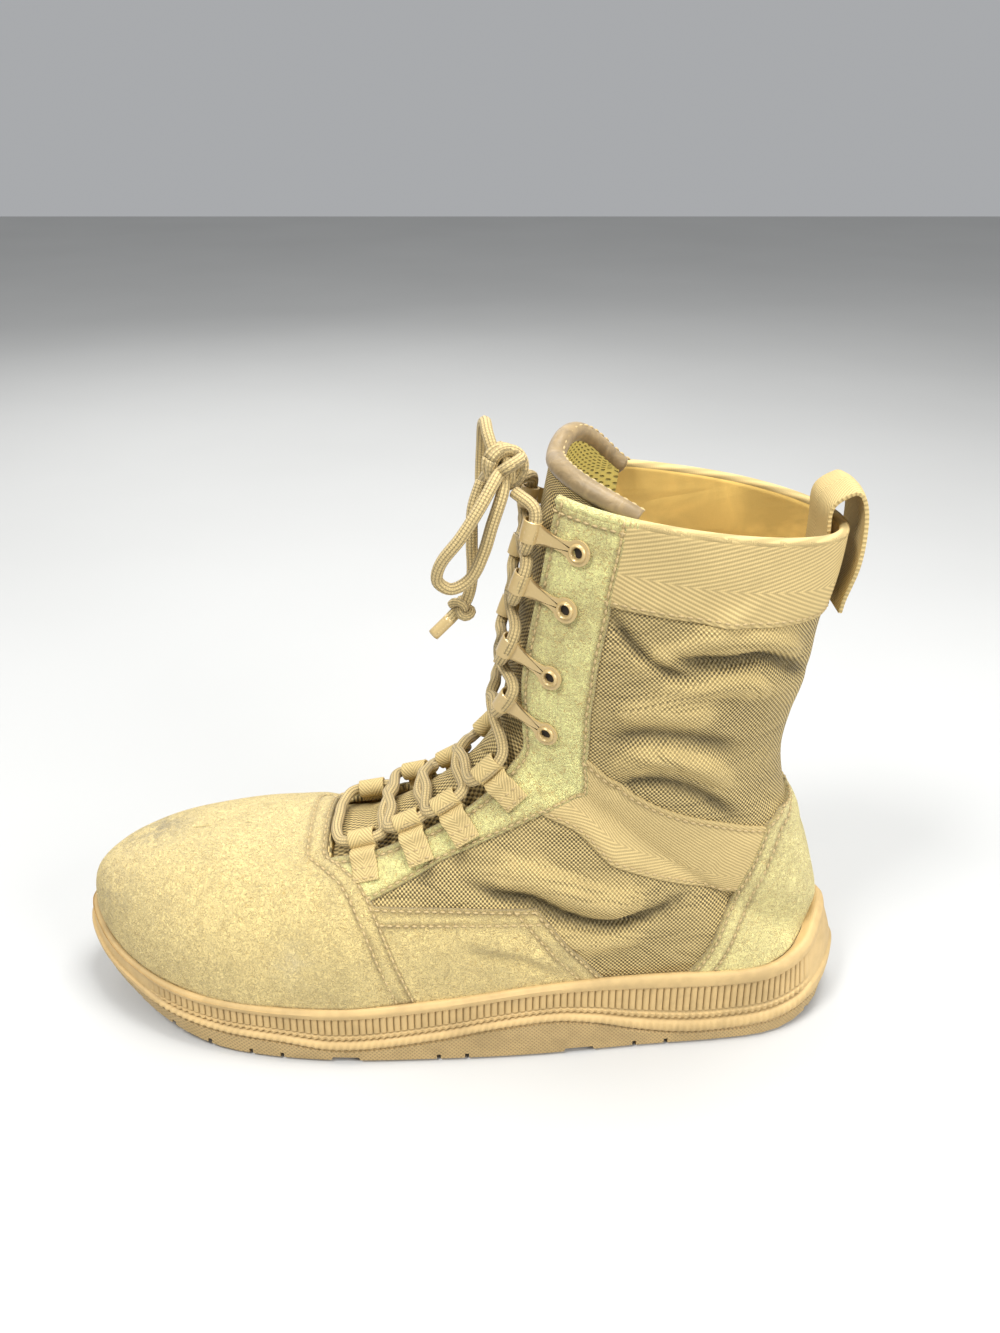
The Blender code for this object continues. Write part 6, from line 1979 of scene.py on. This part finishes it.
class BOOT_OT_tabs(bpy.types.Operator):
    """Fold the tape tabs that hold the lace on the instep"""

    bl_idname = "boot.tabs"
    bl_label = "Lace tabs"

    def execute(self, context):
        for name, last in lasts.items():
            bm = bmesh.new()
            for base in holder_bases(last)[0]:
                place = edge_frame(last, base)
                lay_grid(bm, *self.tab(place))
                axes, middle = np.array(place.to_3x3()), np.array(place.translation)
                for back in (0.0062, 0.0102):
                    line = np.array([(-back, y, 0.0028) for y in np.linspace(-0.45, 0.45, 8) * TAB_WIDTH])
                    SEAMS.append((line @ axes.T + middle, np.broadcast_to(axes[:, 2], line.shape)))
            nodes = [f"lace_tab_{name}_{i + 1}" for i in range(len(TABS_ALONG))]
            piece = add_piece(f"tabs_{name}", mesh_of(bm, "tabs"), "tape", ["tape_narrow"], *nodes)
            wall(piece, TAPE * 0.9, 0, 0)
            soft_edges(piece, 0.0003)
        return {"FINISHED"}

    def tab(self, place):
        """One strip: up from under the throat's edge, round the lace and down on to the suede."""
        reach = LACE / 2 + 0.0009
        turns = np.radians(np.linspace(215, 495, 15))
        around = [(TAB_FORWARD + reach * math.cos(-t), CHANNEL_OUT + reach * math.sin(-t)) for t in turns]
        line = [(-0.0035, -0.0018), (0.0002, -0.0020)] + around
        line += [(-0.0006, 0.0040), (-0.0040, 0.0027), (-0.0080, 0.0023), (-0.0116, 0.0022)]
        way = resampled([(x, 0.0, z) for x, z in line], 0.0006)
        wide = np.linspace(-0.5, 0.5, 9) * TAB_WIDTH * 1.04
        rows = way[:, None] + wide[None, :, None] * np.array((0, 1.0, 0))
        cloth = np.stack(
            np.broadcast_arrays(np.arange(len(way))[:, None] * 0.6, wide[None] * 1000 + 12.0, 0.0), axis=-1
        )
        turned = np.array(place.to_3x3())
        return rows @ turned.T + np.array(place.translation), cloth


def read_line(knots, points, at):
    """One point, straight between the two that lie round it."""
    return np.array([np.interp(at, knots, column) for column in points.T])


class BOOT_OT_stitching(bpy.types.Operator):
    """Sew the seams: one small raised stitch after another along each stitch line"""

    bl_idname = "boot.stitching"
    bl_label = "Stitching"

    def execute(self, context):
        sizes = context.scene.boot_sizes
        whole = bmesh.new()
        piece = bpy.data.meshes.new("seam")
        for line, normals in SEAMS:
            bm = bmesh.new()
            knots = run_along(line)
            at = np.arange(sizes.stitch_pitch / 2, knots[-1], sizes.stitch_pitch)
            for run in at:
                ends = [read_line(knots, line, run + s) for s in (-STITCH_REACH, 0.0, STITCH_REACH)]
                out = read_line(knots, normals, run)
                way = ends[2] - ends[0]
                reach = np.linalg.norm(way)
                if reach < 2e-4:
                    continue
                way, out = Vector(way / reach), Vector(out).normalized()
                side = out.cross(way).normalized()
                out = way.cross(side)
                turn = Matrix((way, side, out)).transposed().to_4x4()
                size = Matrix.Diagonal((sizes.stitch / 2, sizes.thread / 2, sizes.thread / 2, 1))
                place = Matrix.Translation(ends[1]) @ turn @ size
                bmesh.ops.create_uvsphere(bm, u_segments=6, v_segments=5, radius=1.0, matrix=place)
            bm.to_mesh(piece)
            bm.free()
            whole.from_mesh(piece)
        bpy.data.meshes.remove(piece)
        add_piece("stitching", mesh_of(whole, "stitching"), "tape", ["thread"])
        return {"FINISHED"}


class BOOT_PT_panel(bpy.types.Panel):
    """Every step of dressing the boot, in order"""

    bl_label = "Combat Boot"
    bl_idname = "BOOT_PT_panel"
    bl_space_type = "VIEW_3D"
    bl_region_type = "UI"
    bl_category = "Boot"

    def draw(self, context):
        for kind in OPERATORS:
            self.layout.operator(kind.bl_idname)
        for group_name in ("boot_sizes", "boot_colours"):
            given = getattr(context.scene, group_name)
            for title in given.bl_rna.properties.keys():
                if title not in ("rna_type", "name"):
                    self.layout.prop(given, title)


OPERATORS = (
    BOOT_OT_materials,
    BOOT_OT_stage,
    BOOT_OT_lace,
    BOOT_OT_sole,
    BOOT_OT_upper,
    BOOT_OT_suede,
    BOOT_OT_tape,
    BOOT_OT_tongue,
    BOOT_OT_pull_loop,
    BOOT_OT_hooks,
    BOOT_OT_tabs,
    BOOT_OT_stitching,
)
CLASSES = (BootSizes, BootColours, *OPERATORS, BOOT_PT_panel)


def register():
    for kind in CLASSES:
        bpy.utils.register_class(kind)
    bpy.types.Scene.boot_sizes = bpy.props.PointerProperty(type=BootSizes)
    bpy.types.Scene.boot_colours = bpy.props.PointerProperty(type=BootColours)


def unregister():
    del bpy.types.Scene.boot_sizes
    del bpy.types.Scene.boot_colours
    for kind in reversed(CLASSES):
        bpy.utils.unregister_class(kind)


def main():
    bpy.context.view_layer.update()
    register()
    for kind in OPERATORS:
        group_name, title = kind.bl_idname.split(".")
        getattr(getattr(bpy.ops, group_name), title)()


if __name__ == "__main__":
    main()
